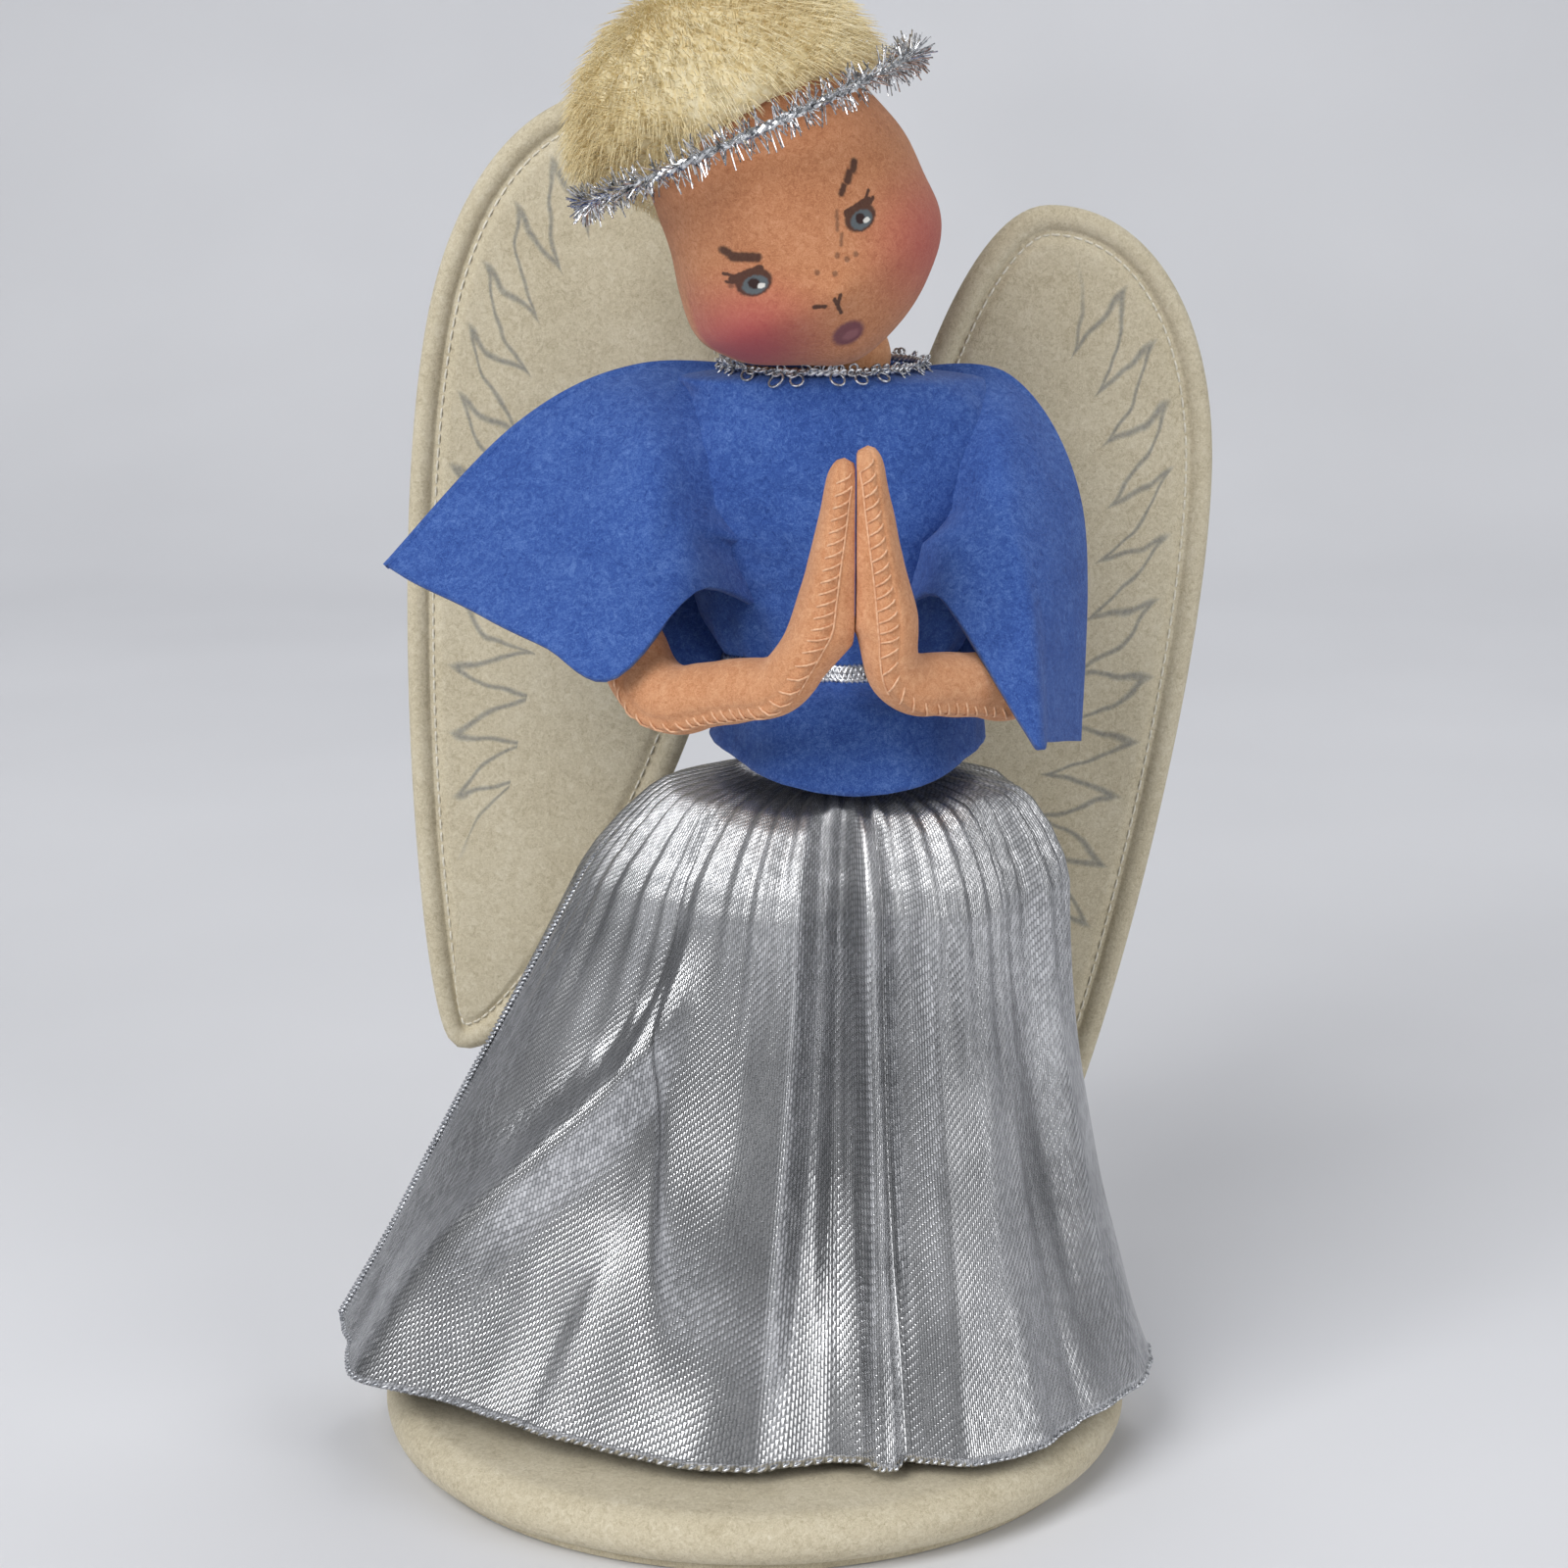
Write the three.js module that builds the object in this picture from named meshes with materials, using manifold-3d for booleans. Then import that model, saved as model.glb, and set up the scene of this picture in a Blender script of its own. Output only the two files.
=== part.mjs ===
// Felt angel doll: a stuffed felt figure on a bent-wire armature, standing on a padded round base.
// Units are mm. +Z is up, the figure faces -Y, and the origin is the middle of the base's underside.
// Left and right are the figure's own.
import * as THREE from "three";
import { mergeVertices } from "three/addons/utils/BufferGeometryUtils.js";
import Module from "manifold-3d";

const wasm = await Module();
wasm.setup();

// General sizes
const GAP = 0.3;
const FELT = 1.6;
const WIRE_R = 0.9;

// Base
const BASE_R = 72;
const BOARD_T = 6;
const LIP = 10;

// Where the figure stands on the base, to the viewer's right of its middle
const FIGURE_X = 16;

// Legs
const LEG_LENGTH = 100;
const THIGH_R = 8.5;
const ANKLE_R = 5.5;
const LEG_SPREAD = 19;
const FOOT_LENGTH = 24;
const ANKLE_HEIGHT = 12;
const LEG_WIRE_IN_TORSO = 20;

// Torso
const HIP_HALF = 16.5;
const WAIST_HALF = 15.5;
const CHEST_HALF = 18.5;
const SHOULDER_HALF = 19;
const TORSO_DEPTH = 0.88;
const HIP_RISE = 17;
const WAIST_RISE = 43;
const CHEST_RISE = 66;
const SHOULDER_RISE = 83;
const SHOULDER_TO_TOP = 9;

// Neck and head
const NECK_R = 8;
const NECK_RISE = 5;
const NECK_FORWARD = 2;
const NECK_SIDE = 1.5;
const HEAD_HALF = 25;
const HEAD_HEIGHT = 67;
const HEAD_DEPTH = 0.98;
const HEAD_ROLL = 27;
const HEAD_TURN = 9;
const HEAD_NOD = 6;
const HEAD_FORWARD = 6;
const HAIR_T = 7;
const FACE_HALF = 33;
const HAIRLINE_RISE = 0.54;
const HAIRLINE_SIDE_TILT = 22;
const HAIRLINE_BACK_TILT = 45;

// Halo
const HALO_ROLL = 24;
const HALO_RISE = 12;
const HALO_R = 34;
const HALO_CORE_R = 1.6;
const HALO_STRAND = 3.4;

// Arms
const ARM_OUT = 7;
const UPPER_ARM_DROP = 42;
const UPPER_ARM_FORWARD = 28;
const UPPER_ARM_R = 6;
const ELBOW_R = 5.6;
const FOREARM_RISE = 4;
const FOREARM_FORWARD = 18;
const WRIST_R = 4.8;
const HAND_LENGTH = 40;
const HAND_HALF = 7;
const HAND_THIN = 0.7;
const PALM_LEAN = 6.5;
const SHOULDER_BALL = 6.5;

// Tunic
const TUNIC_EASE = 0.8;
const HEM_DROP = 22;
const HEM_CURVE = 5;
const HEM_FLARE = 3.2;
const NECKLINE = 12.5;
const RIGHT_CUFF_R = 8.5;
const LEFT_CUFF_R = 11;
const SLEEVE_REACH = 0.93;
const ARMHOLE_EASE = 3;
const SLEEVE_TOP = 9;
const RIGHT_SLEEVE_START = 10;
const RIGHT_SLEEVE_MIDDLE = 33;
const RIGHT_SLEEVE_TIP = 56;
const RIGHT_SLEEVE_FORWARD = 10;
const RIGHT_SLEEVE_DROP = 25;
const LEFT_SLEEVE_START = 3;
const LEFT_SLEEVE_MIDDLE = 24;
const LEFT_SLEEVE_TIP = 17;
const LEFT_SLEEVE_FORWARD = 20;
const LEFT_SLEEVE_DROP = 54;

// Trims
const BELT_HEIGHT = 4;
const BELT_T = 1;
const COLLAR_R = 1.2;
const COLLAR_LOOPS = 22;
const COLLAR_LOOP_R = 1.5;

// Skirt
const LAME = 0.9;
const BAND_BELOW_WAIST = 9;
const BAND_HEIGHT = 4;
const BAND_T = 1.2;
const SHELF_HALF = 40;
const SHELF_FRONT = 0.76;
const SHELF_BACK = 0.66;
const SHELF_DROP = 6;
const SHELF_BELOW_HEM = 1.5;
const SKIRT_RIGHT = 97;
const SKIRT_LEFT = 60;
const SKIRT_FRONT = 57;
const SKIRT_BACK = 33;
const HEM_LIFT = 2;
const RIGHT_HEM_LIFT = 6;
const FOLD_DEPTH = 4;

// Wings
const WING_LENGTH = 196;
const WING_OUTER = 34;
const WING_INNER = 36;
const WING_WIDEST = 46;
const WING_INNER_RISE = 12;
const RIM_R = 2.4;
const WING_SWEEP = 10;
const LEFT_WING_RISE = 136;
const RIGHT_WING_RISE = 178;
const LEFT_WING_ROLL = 0;
const RIGHT_WING_ROLL = 12;
const LEFT_WING_ROOT = 7.5;
const RIGHT_WING_ROOT = 19.5;
const PAD_T = 8;
const PAD_HALF = 22;
const PAD_ABOVE_BELT = 2;
const PAD_ABOVE_SHOULDER = 2;

const TAU = 2 * Math.PI;
const rad = THREE.MathUtils.degToRad;
const lerp = THREE.MathUtils.lerp;
const smooth = THREE.MathUtils.smoothstep;
const vec = (x, y, z) => new THREE.Vector3(x, y, z);
const flat = (x, y) => new THREE.Vector2(x, y);

// Solids

function signedVolume(geometry) {
  const p = geometry.getAttribute("position");
  const index = geometry.index.array;
  const a = vec();
  const b = vec();
  const c = vec();
  let sum = 0;
  for (let i = 0; i < index.length; i += 3) {
    a.fromBufferAttribute(p, index[i]);
    b.fromBufferAttribute(p, index[i + 1]);
    c.fromBufferAttribute(p, index[i + 2]);
    sum += a.dot(b.cross(c));
  }
  return sum / 6;
}

// Welds a geometry's corners and turns its faces outward.
function welded(geometry) {
  const bare = new THREE.BufferGeometry();
  const source = geometry.index ? geometry.toNonIndexed() : geometry;
  bare.setAttribute("position", source.getAttribute("position"));
  const merged = mergeVertices(bare, 1e-4);
  const index = merged.index.array;
  const kept = [];
  for (let i = 0; i < index.length; i += 3) {
    const [a, b, c] = [index[i], index[i + 1], index[i + 2]];
    if (a !== b && b !== c && c !== a) kept.push(a, b, c);
  }
  merged.setIndex(kept);
  if (signedVolume(merged) < 0) {
    for (let i = 0; i < kept.length; i += 3) [kept[i + 1], kept[i + 2]] = [kept[i + 2], kept[i + 1]];
    merged.setIndex(kept);
  }
  return merged;
}

function solid(geometry) {
  const g = welded(geometry);
  const mesh = new wasm.Mesh({
    numProp: 3,
    vertProperties: new Float32Array(g.getAttribute("position").array),
    triVerts: new Uint32Array(g.index.array),
  });
  return new wasm.Manifold(mesh);
}

// The largest body of a solid as a geometry.
function shape(made) {
  const bodies = made.decompose().sort((a, b) => b.volume() - a.volume());
  const mesh = bodies[0].getMesh();
  const g = new THREE.BufferGeometry();
  const corners = new Float32Array(mesh.numVert * 3);
  for (let i = 0; i < mesh.numVert; i += 1) {
    const from = i * mesh.numProp;
    corners.set(mesh.vertProperties.subarray(from, from + 3), i * 3);
  }
  g.setAttribute("position", new THREE.BufferAttribute(corners, 3));
  g.setIndex(new THREE.BufferAttribute(mesh.triVerts, 1));
  return g;
}

const cut = (made, ...tools) => tools.reduce((left, tool) => left.subtract(tool), made);

// Form builders

function grid(points, turns, faces, rows, first, flip) {
  for (let i = 0; i < rows; i += 1) {
    for (let j = 0; j < turns; j += 1) {
      const next = (j + 1) % turns;
      const a = first + i * turns + j;
      const b = first + i * turns + next;
      const c = first + (i + 1) * turns + next;
      const d = first + (i + 1) * turns + j;
      if (flip) faces.push(a, c, b, a, d, c);
      else faces.push(a, b, c, a, c, d);
    }
  }
}

function surfaceGeometry(points, faces) {
  const g = new THREE.BufferGeometry().setFromPoints(points);
  g.setIndex(faces);
  return g;
}

// A closed form swept by surface(angle, along), which comes to a point at both ends.
function form(surface, rows, turns) {
  const points = [];
  const faces = [];
  for (let i = 1; i < rows; i += 1) {
    for (let j = 0; j < turns; j += 1) points.push(surface((j / turns) * TAU, i / rows));
  }
  grid(points, turns, faces, rows - 2, 0, false);
  const low = points.push(surface(0, 0)) - 1;
  const high = points.push(surface(0, 1)) - 1;
  const last = (rows - 2) * turns;
  for (let j = 0; j < turns; j += 1) {
    const next = (j + 1) % turns;
    faces.push(low, next, j, high, last + j, last + next);
  }
  return surfaceGeometry(points, faces);
}

// An open-ended shell between two swept surfaces.
function shell(outer, inner, rows, turns) {
  const points = [];
  const faces = [];
  for (const surface of [outer, inner]) {
    for (let i = 0; i <= rows; i += 1) {
      for (let j = 0; j < turns; j += 1) points.push(surface((j / turns) * TAU, i / rows));
    }
  }
  const second = (rows + 1) * turns;
  grid(points, turns, faces, rows, 0, false);
  grid(points, turns, faces, rows, second, true);
  for (let j = 0; j < turns; j += 1) {
    const next = (j + 1) % turns;
    faces.push(j, second + j, second + next, j, second + next, next);
    const o = rows * turns;
    faces.push(o + j, second + o + next, second + o + j, o + j, o + next, second + o + next);
  }
  return surfaceGeometry(points, faces);
}

// A solid lofted through rings of points, with flat ends.
function loft(rings) {
  const turns = rings[0].length;
  const points = rings.flat();
  const faces = [];
  grid(points, turns, faces, rings.length - 1, 0, false);
  const ends = [rings[0], rings[rings.length - 1]];
  ends.forEach((ring, k) => {
    const middle = vec(0, 0, 0);
    ring.forEach((p) => middle.addScaledVector(p, 1 / turns));
    const hub = points.push(middle) - 1;
    const first = k ? (rings.length - 1) * turns : 0;
    for (let j = 0; j < turns; j += 1) {
      const next = (j + 1) % turns;
      if (k) faces.push(hub, first + j, first + next);
      else faces.push(hub, first + next, first + j);
    }
  });
  return surfaceGeometry(points, faces);
}

// A tube round a closed curve that lies in a plane with the given normal.
function loopTube(curve, normal, radius, steps, sides) {
  const points = [];
  const faces = [];
  for (let i = 0; i < steps; i += 1) {
    const at = curve.getPointAt(i / steps);
    const out = curve.getTangentAt(i / steps).cross(normal).normalize();
    for (let j = 0; j < sides; j += 1) {
      const turn = (j / sides) * TAU;
      const p = at.clone().addScaledVector(out, radius * Math.cos(turn));
      points.push(p.addScaledVector(normal, radius * Math.sin(turn)));
    }
  }
  for (let i = 0; i < steps; i += 1) {
    for (let j = 0; j < sides; j += 1) {
      const nextRing = ((i + 1) % steps) * sides;
      const next = (j + 1) % sides;
      const a = i * sides + j;
      const b = i * sides + next;
      faces.push(a, b, nextRing + next, a, nextRing + next, nextRing + j);
    }
  }
  return surfaceGeometry(points, faces);
}

// Turns a geometry whose axis is +Y so that it runs from one point towards another.
function aimed(geometry, from, to) {
  const along = to.clone().sub(from).normalize();
  const turn = new THREE.Quaternion().setFromUnitVectors(vec(0, 1, 0), along);
  return geometry.applyQuaternion(turn).translate(from.x, from.y, from.z);
}

function rod(from, to, radius) {
  const length = from.distanceTo(to);
  const g = new THREE.CylinderGeometry(radius, radius, length, 8).translate(0, length / 2, 0);
  return aimed(g, from, to);
}

function ball(at, radius, around = 16) {
  return new THREE.SphereGeometry(radius, around, around * 0.625).translate(at.x, at.y, at.z);
}

// A limb that starts in a ball at its joint and swells and tapers to a flat or rounded end.
function limb(from, to, radii, grow, roundEnd, sides) {
  const length = from.distanceTo(to) + grow;
  const [first, middle, last] = radii.map((r) => r + grow);
  const points = [];
  for (let k = 0; k < 5; k += 1) {
    const turn = rad(-90 + k * 22.5);
    points.push(flat(first * Math.cos(turn), first * Math.sin(turn)));
  }
  points[0].x = 0;
  const tip = roundEnd ? last : 0;
  const side = new THREE.SplineCurve([flat(first, 0), flat(middle, length * 0.42), flat(last, length - tip)]);
  side.getPoints(6).forEach((p) => points.push(p));
  if (roundEnd) {
    for (let k = 1; k < 4; k += 1) {
      const turn = rad(k * 30);
      points.push(flat(last * Math.cos(turn), length - tip + last * Math.sin(turn)));
    }
  }
  points[points.length - 1].x = roundEnd ? 0 : points[points.length - 1].x;
  if (!roundEnd) points.push(flat(0, length));
  return new THREE.LatheGeometry(points.filter((p, i) => i !== 5), sides);
}

// Heights and joint places
const underlayTop = FELT;
const lipLow = underlayTop + GAP;
const boardLow = lipLow + FELT + GAP;
const boardTop = boardLow + BOARD_T;
const baseTop = boardTop + GAP + FELT;
const torsoLow = baseTop + LEG_LENGTH;
const waistZ = torsoLow + WAIST_RISE;
const shoulderZ = torsoLow + SHOULDER_RISE;
const torsoTop = shoulderZ + SHOULDER_TO_TOP;
const hemZ = waistZ - HEM_DROP;
const bandTop = waistZ - BAND_BELOW_WAIST;
const skirtTop = bandTop - BAND_HEIGHT - GAP;
const neckAt = vec(FIGURE_X + NECK_SIDE, -NECK_FORWARD, torsoTop + NECK_RISE);

// Torso profile from its underside to its top, as half width and height
const torsoProfile = new THREE.SplineCurve([
  flat(0, torsoLow),
  flat(HIP_HALF * 0.75, torsoLow + HIP_RISE * 0.25),
  flat(HIP_HALF, torsoLow + HIP_RISE),
  flat(WAIST_HALF, waistZ),
  flat(CHEST_HALF, torsoLow + CHEST_RISE),
  flat(SHOULDER_HALF, shoulderZ),
  flat(SHOULDER_HALF * 0.62, lerp(shoulderZ, torsoTop, 0.75)),
  flat(0, torsoTop),
]);

function torsoPoint(angle, along, grow) {
  const at = torsoProfile.getPoint(along);
  const run = torsoProfile.getTangent(along);
  const wide = Math.max(at.x + run.y * grow, 0);
  const deep = Math.max(at.x * TORSO_DEPTH + run.y * grow, 0);
  return vec(FIGURE_X + wide * Math.cos(angle), deep * Math.sin(angle), at.y - run.x * grow);
}

// Where along the torso profile a height lies
function alongAt(height) {
  let low = 0;
  let high = 1;
  for (let k = 0; k < 40; k += 1) {
    const mid = (low + high) / 2;
    if (torsoProfile.getPoint(mid).y < height) low = mid;
    else high = mid;
  }
  return low;
}

// The widest half width of the torso between two heights
function widestBetween(low, high) {
  let most = 0;
  for (let k = 0; k <= 8; k += 1) {
    most = Math.max(most, torsoProfile.getPoint(alongAt(lerp(low, high, k / 8))).x);
  }
  return most;
}

const torsoForm = (grow) => solid(form((a, t) => torsoPoint(a, t, grow), 13, 24));

// Arms: places of the joints for one side, -1 being the figure's right
function armPlaces(side) {
  const shoulder = vec(FIGURE_X + side * (SHOULDER_HALF + SHOULDER_BALL + GAP), 0, shoulderZ);
  const drop = vec(side * ARM_OUT, -UPPER_ARM_FORWARD, -UPPER_ARM_DROP);
  const elbow = shoulder.clone().add(drop);
  const wristX = FIGURE_X + side * (HAND_HALF * HAND_THIN + PALM_LEAN * 0.55);
  const wrist = vec(wristX, elbow.y - FOREARM_FORWARD, elbow.z + FOREARM_RISE);
  const tip = vec(wrist.x - side * PALM_LEAN, wrist.y - 2, wrist.z + HAND_LENGTH);
  const upperEnd = elbow.clone().lerp(shoulder, (ELBOW_R + GAP) / elbow.distanceTo(shoulder));
  const foreEnd = wrist.clone().lerp(elbow, (WRIST_R + GAP) / wrist.distanceTo(elbow));
  return { shoulder, elbow, wrist, tip, upperEnd, foreEnd };
}

const upperRadii = [SHOULDER_BALL, UPPER_ARM_R, ELBOW_R * 0.9];
const foreRadii = [ELBOW_R, ELBOW_R * 0.98, WRIST_R];
const handRadii = [WRIST_R, HAND_HALF, HAND_HALF * 0.42];

function upperArmForm(side, grow) {
  const { shoulder, upperEnd } = armPlaces(side);
  const g = limb(shoulder, upperEnd, upperRadii, grow, false, 12);
  return solid(aimed(g, shoulder, upperEnd));
}

function forearmForm(side, grow) {
  const { elbow, foreEnd } = armPlaces(side);
  return solid(aimed(limb(elbow, foreEnd, foreRadii, grow, false, 12), elbow, foreEnd));
}

function handForm(side, grow) {
  const { wrist, tip } = armPlaces(side);
  const g = limb(wrist, tip, handRadii, grow, true, 14);
  const thin = (HAND_THIN * HAND_HALF + grow) / (HAND_HALF + grow);
  g.scale(thin, 1, 1);
  const far = 3 * HAND_LENGTH;
  const palm = new THREE.BoxGeometry(far, 2 * far, 2 * far);
  palm.translate(FIGURE_X - side * (far / 2 - GAP / 2), wrist.y, wrist.z);
  const knob = solid(ball(wrist, WRIST_R + grow, 10));
  return cut(wasm.Manifold.union([solid(aimed(g, wrist, tip)), knob]), solid(palm));
}

// Tunic: its inner surface stands off the torso, and below the belt it clears the skirt's gathers
const hemEase = BAND_T + LAME + 3 * GAP + HEM_FLARE;
const neckAlong = (() => {
  let along = alongAt(shoulderZ);
  while (along < 0.995 && torsoProfile.getPoint(along).x > NECKLINE) along += 0.002;
  return along;
})();

function tunicPoint(angle, t, extra) {
  const sides = Math.abs(Math.cos(angle));
  const back = Math.max(Math.sin(angle), 0);
  const low = alongAt(hemZ + HEM_CURVE * (1.1 * sides ** 1.5 + 0.4 * back));
  const along = lerp(low, neckAlong, t);
  const height = torsoProfile.getPoint(along).y;
  const fall = 1 - smooth(height, bandTop + GAP, waistZ - BELT_HEIGHT / 2 - GAP);
  const flare = Math.max(bandTop - height, 0) * 0.16 * (1 + 0.5 * Math.cos(6 * angle));
  return torsoPoint(angle, along, TUNIC_EASE + hemEase * fall + flare + extra);
}

const tunicShell = () =>
  solid(shell((a, t) => tunicPoint(a, t, FELT), (a, t) => tunicPoint(a, t, 0), 10, 24));

// Everything inside the tunic's outer face, for cutting the pieces that lie against it
function tunicFilled(grow) {
  const rings = [];
  for (let i = 0; i <= 10; i += 1) {
    const ring = [];
    for (let j = 0; j < 24; j += 1) ring.push(tunicPoint((j / 24) * TAU, i / 10, FELT + grow));
    rings.push(ring);
  }
  return solid(loft(rings));
}

// Sleeves: wide kimono sleeves, round about the arm and drawn out to a free edge, which runs from
// the top of the shoulder through a bend to the outer corner of the sleeve's mouth
const sleeveEdges = {
  right: {
    start: vec(-RIGHT_SLEEVE_START, 0, SLEEVE_TOP),
    bend: vec(-RIGHT_SLEEVE_MIDDLE, -RIGHT_SLEEVE_FORWARD * 0.5, -RIGHT_SLEEVE_DROP * 0.04),
    end: vec(-RIGHT_SLEEVE_TIP, -RIGHT_SLEEVE_FORWARD, -RIGHT_SLEEVE_DROP),
  },
  left: {
    start: vec(LEFT_SLEEVE_START, 0, SLEEVE_TOP),
    bend: vec(LEFT_SLEEVE_MIDDLE, -LEFT_SLEEVE_FORWARD * 0.2, -LEFT_SLEEVE_DROP * 0.185),
    end: vec(LEFT_SLEEVE_TIP, -LEFT_SLEEVE_FORWARD, -LEFT_SLEEVE_DROP),
  },
};

// One ring of a sleeve: part is 0 at the shoulder and 1 at the mouth, and below 0 it closes the top
function sleeveRing(side, part, inset) {
  const { shoulder, elbow } = armPlaces(side);
  const edge = side < 0 ? sleeveEdges.right : sleeveEdges.left;
  const cuff = side < 0 ? RIGHT_CUFF_R : LEFT_CUFF_R;
  const down = elbow.clone().sub(shoulder).normalize();
  const inside = Math.max(part, 0);
  const snug = SHOULDER_BALL + 2 * GAP + FELT;
  const round = lerp(snug, cuff, inside) - inset;
  const centre = shoulder.clone().lerp(elbow, inside * SLEEVE_REACH);
  const line = new THREE.QuadraticBezierCurve3(edge.start, edge.bend, edge.end);
  const free = line.getPoint(inside).add(shoulder);
  const out = free.clone().sub(centre);
  const reach = Math.max(out.length() - inset, round);
  out.addScaledVector(down, -out.dot(down) * 0.5).normalize();
  const across = down.clone().cross(out).normalize();
  const close = part < 0 ? Math.cos(rad(-part * 90)) : 1;
  centre.addScaledVector(down, part < 0 ? -round * Math.sin(rad(-part * 90)) : 0);
  const ring = [];
  for (let j = 0; j < 18; j += 1) {
    const turn = (j / 18) * TAU;
    const far = Math.cos(turn) > 0 ? reach : round;
    const p = centre.clone().addScaledVector(out, close * far * Math.cos(turn));
    ring.push(p.addScaledVector(across, close * round * Math.sin(turn)));
  }
  return ring;
}

function sleeveForm(side) {
  const parts = [-0.9, -0.5, 0, 0.35, 0.7];
  const outer = [...parts, 1].map((part) => sleeveRing(side, part, 0));
  const inner = [...parts, 1.04].map((part) => sleeveRing(side, part, FELT));
  return cut(solid(loft(outer)), solid(loft(inner)));
}

// Skirt: a gathered shelf under the tunic's hem, then a fall to the hem on the base
const hemLow = hemZ - SHELF_BELOW_HEM;
const folds = [
  { at: -42, wide: 13, high: 1 },
  { at: -22, wide: 8, high: 0.55 },
  { at: -3, wide: 7, high: -0.9 },
  { at: 9, wide: 6, high: 0.8 },
  { at: 34, wide: 12, high: 0.7 },
  { at: 62, wide: 13, high: -0.7 },
  { at: 92, wide: 14, high: 0.5 },
  { at: 130, wide: 16, high: -0.8 },
  { at: 165, wide: 14, high: 0.6 },
  { at: 200, wide: 14, high: -0.8 },
  { at: 235, wide: 16, high: 0.6 },
  { at: 262, wide: 9, high: 0.4 },
  { at: 290, wide: 12, high: -0.6 },
];

function foldHeight(angle) {
  const facing = (THREE.MathUtils.radToDeg(angle) + 90) % 360;
  return folds.reduce((sum, fold) => {
    const off = ((((facing - fold.at) % 360) + 540) % 360) - 180;
    return sum + fold.high * Math.exp(-((off / fold.wide) ** 2));
  }, 0);
}

function skirtPoint(angle, t) {
  const c = Math.cos(angle);
  const s = Math.sin(angle);
  if (t < 0.15) {
    const height = lerp(skirtTop, hemLow, t / 0.15);
    return torsoPoint(angle, alongAt(height), GAP + LAME);
  }
  const top = torsoPoint(angle, alongAt(hemLow), GAP + LAME);
  const shelfDeep = (s < 0 ? SHELF_FRONT : SHELF_BACK) * SHELF_HALF;
  const shelf = vec(FIGURE_X + SHELF_HALF * c, shelfDeep * s, hemLow - SHELF_DROP);
  if (t < 0.35) {
    const part = (t - 0.15) / 0.2;
    const mid = vec(lerp(top.x, shelf.x, 0.55), lerp(top.y, shelf.y, 0.55), lerp(top.z, shelf.z, 0.25));
    return new THREE.QuadraticBezierCurve3(top, mid, shelf).getPoint(part);
  }
  const part = (t - 0.35) / 0.65;
  const tightness = lerp(lerp(1, 1.25, Math.max(-s, 0)), 2.1, Math.max(c, 0) ** 1.5);
  const reach = part ** tightness;
  const wide = c > 0 ? SKIRT_LEFT : SKIRT_RIGHT;
  const deep = s > 0 ? SKIRT_BACK : SKIRT_FRONT;
  const rise = HEM_LIFT + RIGHT_HEM_LIFT * Math.max(-c, 0) ** 2 + LAME;
  const bump = foldHeight(angle) * FOLD_DEPTH * part;
  const x = FIGURE_X + lerp(SHELF_HALF, wide, reach) * c + bump * c;
  const y = lerp(shelf.y, deep * s, reach) + bump * s;
  return vec(x, y, lerp(shelf.z, baseTop + rise, part));
}

function skirtInner(angle, t) {
  const step = 1e-3;
  const at = skirtPoint(angle, t);
  const round = skirtPoint(angle + step, t).sub(skirtPoint(angle - step, t));
  const down = skirtPoint(angle, Math.min(t + step, 1)).sub(skirtPoint(angle, Math.max(t - step, 0)));
  return at.addScaledVector(down.cross(round).normalize(), -LAME);
}

// Head: an egg with full cheeks, in its own frame and then set on the neck
const headLow = -HEAD_HEIGHT * 0.48;
const headProfile = new THREE.SplineCurve([
  flat(0, headLow),
  flat(HEAD_HALF * 0.56, headLow + HEAD_HEIGHT * 0.045),
  flat(HEAD_HALF * 0.94, headLow + HEAD_HEIGHT * 0.2),
  flat(HEAD_HALF, headLow + HEAD_HEIGHT * 0.36),
  flat(HEAD_HALF * 0.98, headLow + HEAD_HEIGHT * 0.58),
  flat(HEAD_HALF * 0.86, headLow + HEAD_HEIGHT * 0.8),
  flat(HEAD_HALF * 0.5, headLow + HEAD_HEIGHT * 0.95),
  flat(0, headLow + HEAD_HEIGHT),
]);
const headTurn = new THREE.Matrix4()
  .makeRotationY(rad(-HEAD_ROLL))
  .multiply(new THREE.Matrix4().makeRotationX(rad(HEAD_NOD)))
  .multiply(new THREE.Matrix4().makeRotationZ(rad(HEAD_TURN)));
const headUp = vec(0, 0, 1).applyMatrix4(headTurn);
const headAt = neckAt
  .clone()
  .add(vec(0, -HEAD_FORWARD, 0))
  .addScaledVector(headUp, -headLow + NECK_R * 0.1);
const headMatrix = new THREE.Matrix4().makeTranslation(headAt).multiply(headTurn);

function headPoint(angle, t, grow) {
  const at = headProfile.getPoint(t);
  const run = headProfile.getTangent(t);
  const wide = Math.max(at.x + run.y * grow, 0);
  const jaw = 1 - smooth(at.y, headLow, headLow + HEAD_HEIGHT * 0.4);
  const deep = Math.sin(angle) > 0 ? HEAD_DEPTH - 0.3 * jaw : HEAD_DEPTH;
  const y = Math.max(at.x * deep + run.y * grow, 0) * Math.sin(angle);
  return vec(wide * Math.cos(angle), y, at.y - run.x * grow).applyMatrix4(headMatrix);
}

const headForm = (grow, turns) => solid(form((a, t) => headPoint(a, t, grow), 13, turns));

// Halo: a ring in its own plane round the hair
const haloTurn = new THREE.Matrix4().makeRotationY(rad(-HALO_ROLL));
const haloAt = headAt.clone().addScaledVector(headUp, HALO_RISE);
const haloNormal = vec(0, 0, 1).applyMatrix4(haloTurn);
const haloAcross = vec(1, 0, 0).applyMatrix4(haloTurn);

class HaloCurve extends THREE.Curve {
  getPoint(t) {
    const p = haloAt.clone().addScaledVector(haloAcross, HALO_R * Math.cos(t * TAU));
    return p.add(vec(0, HALO_R * Math.sin(t * TAU), 0));
  }
}

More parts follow.
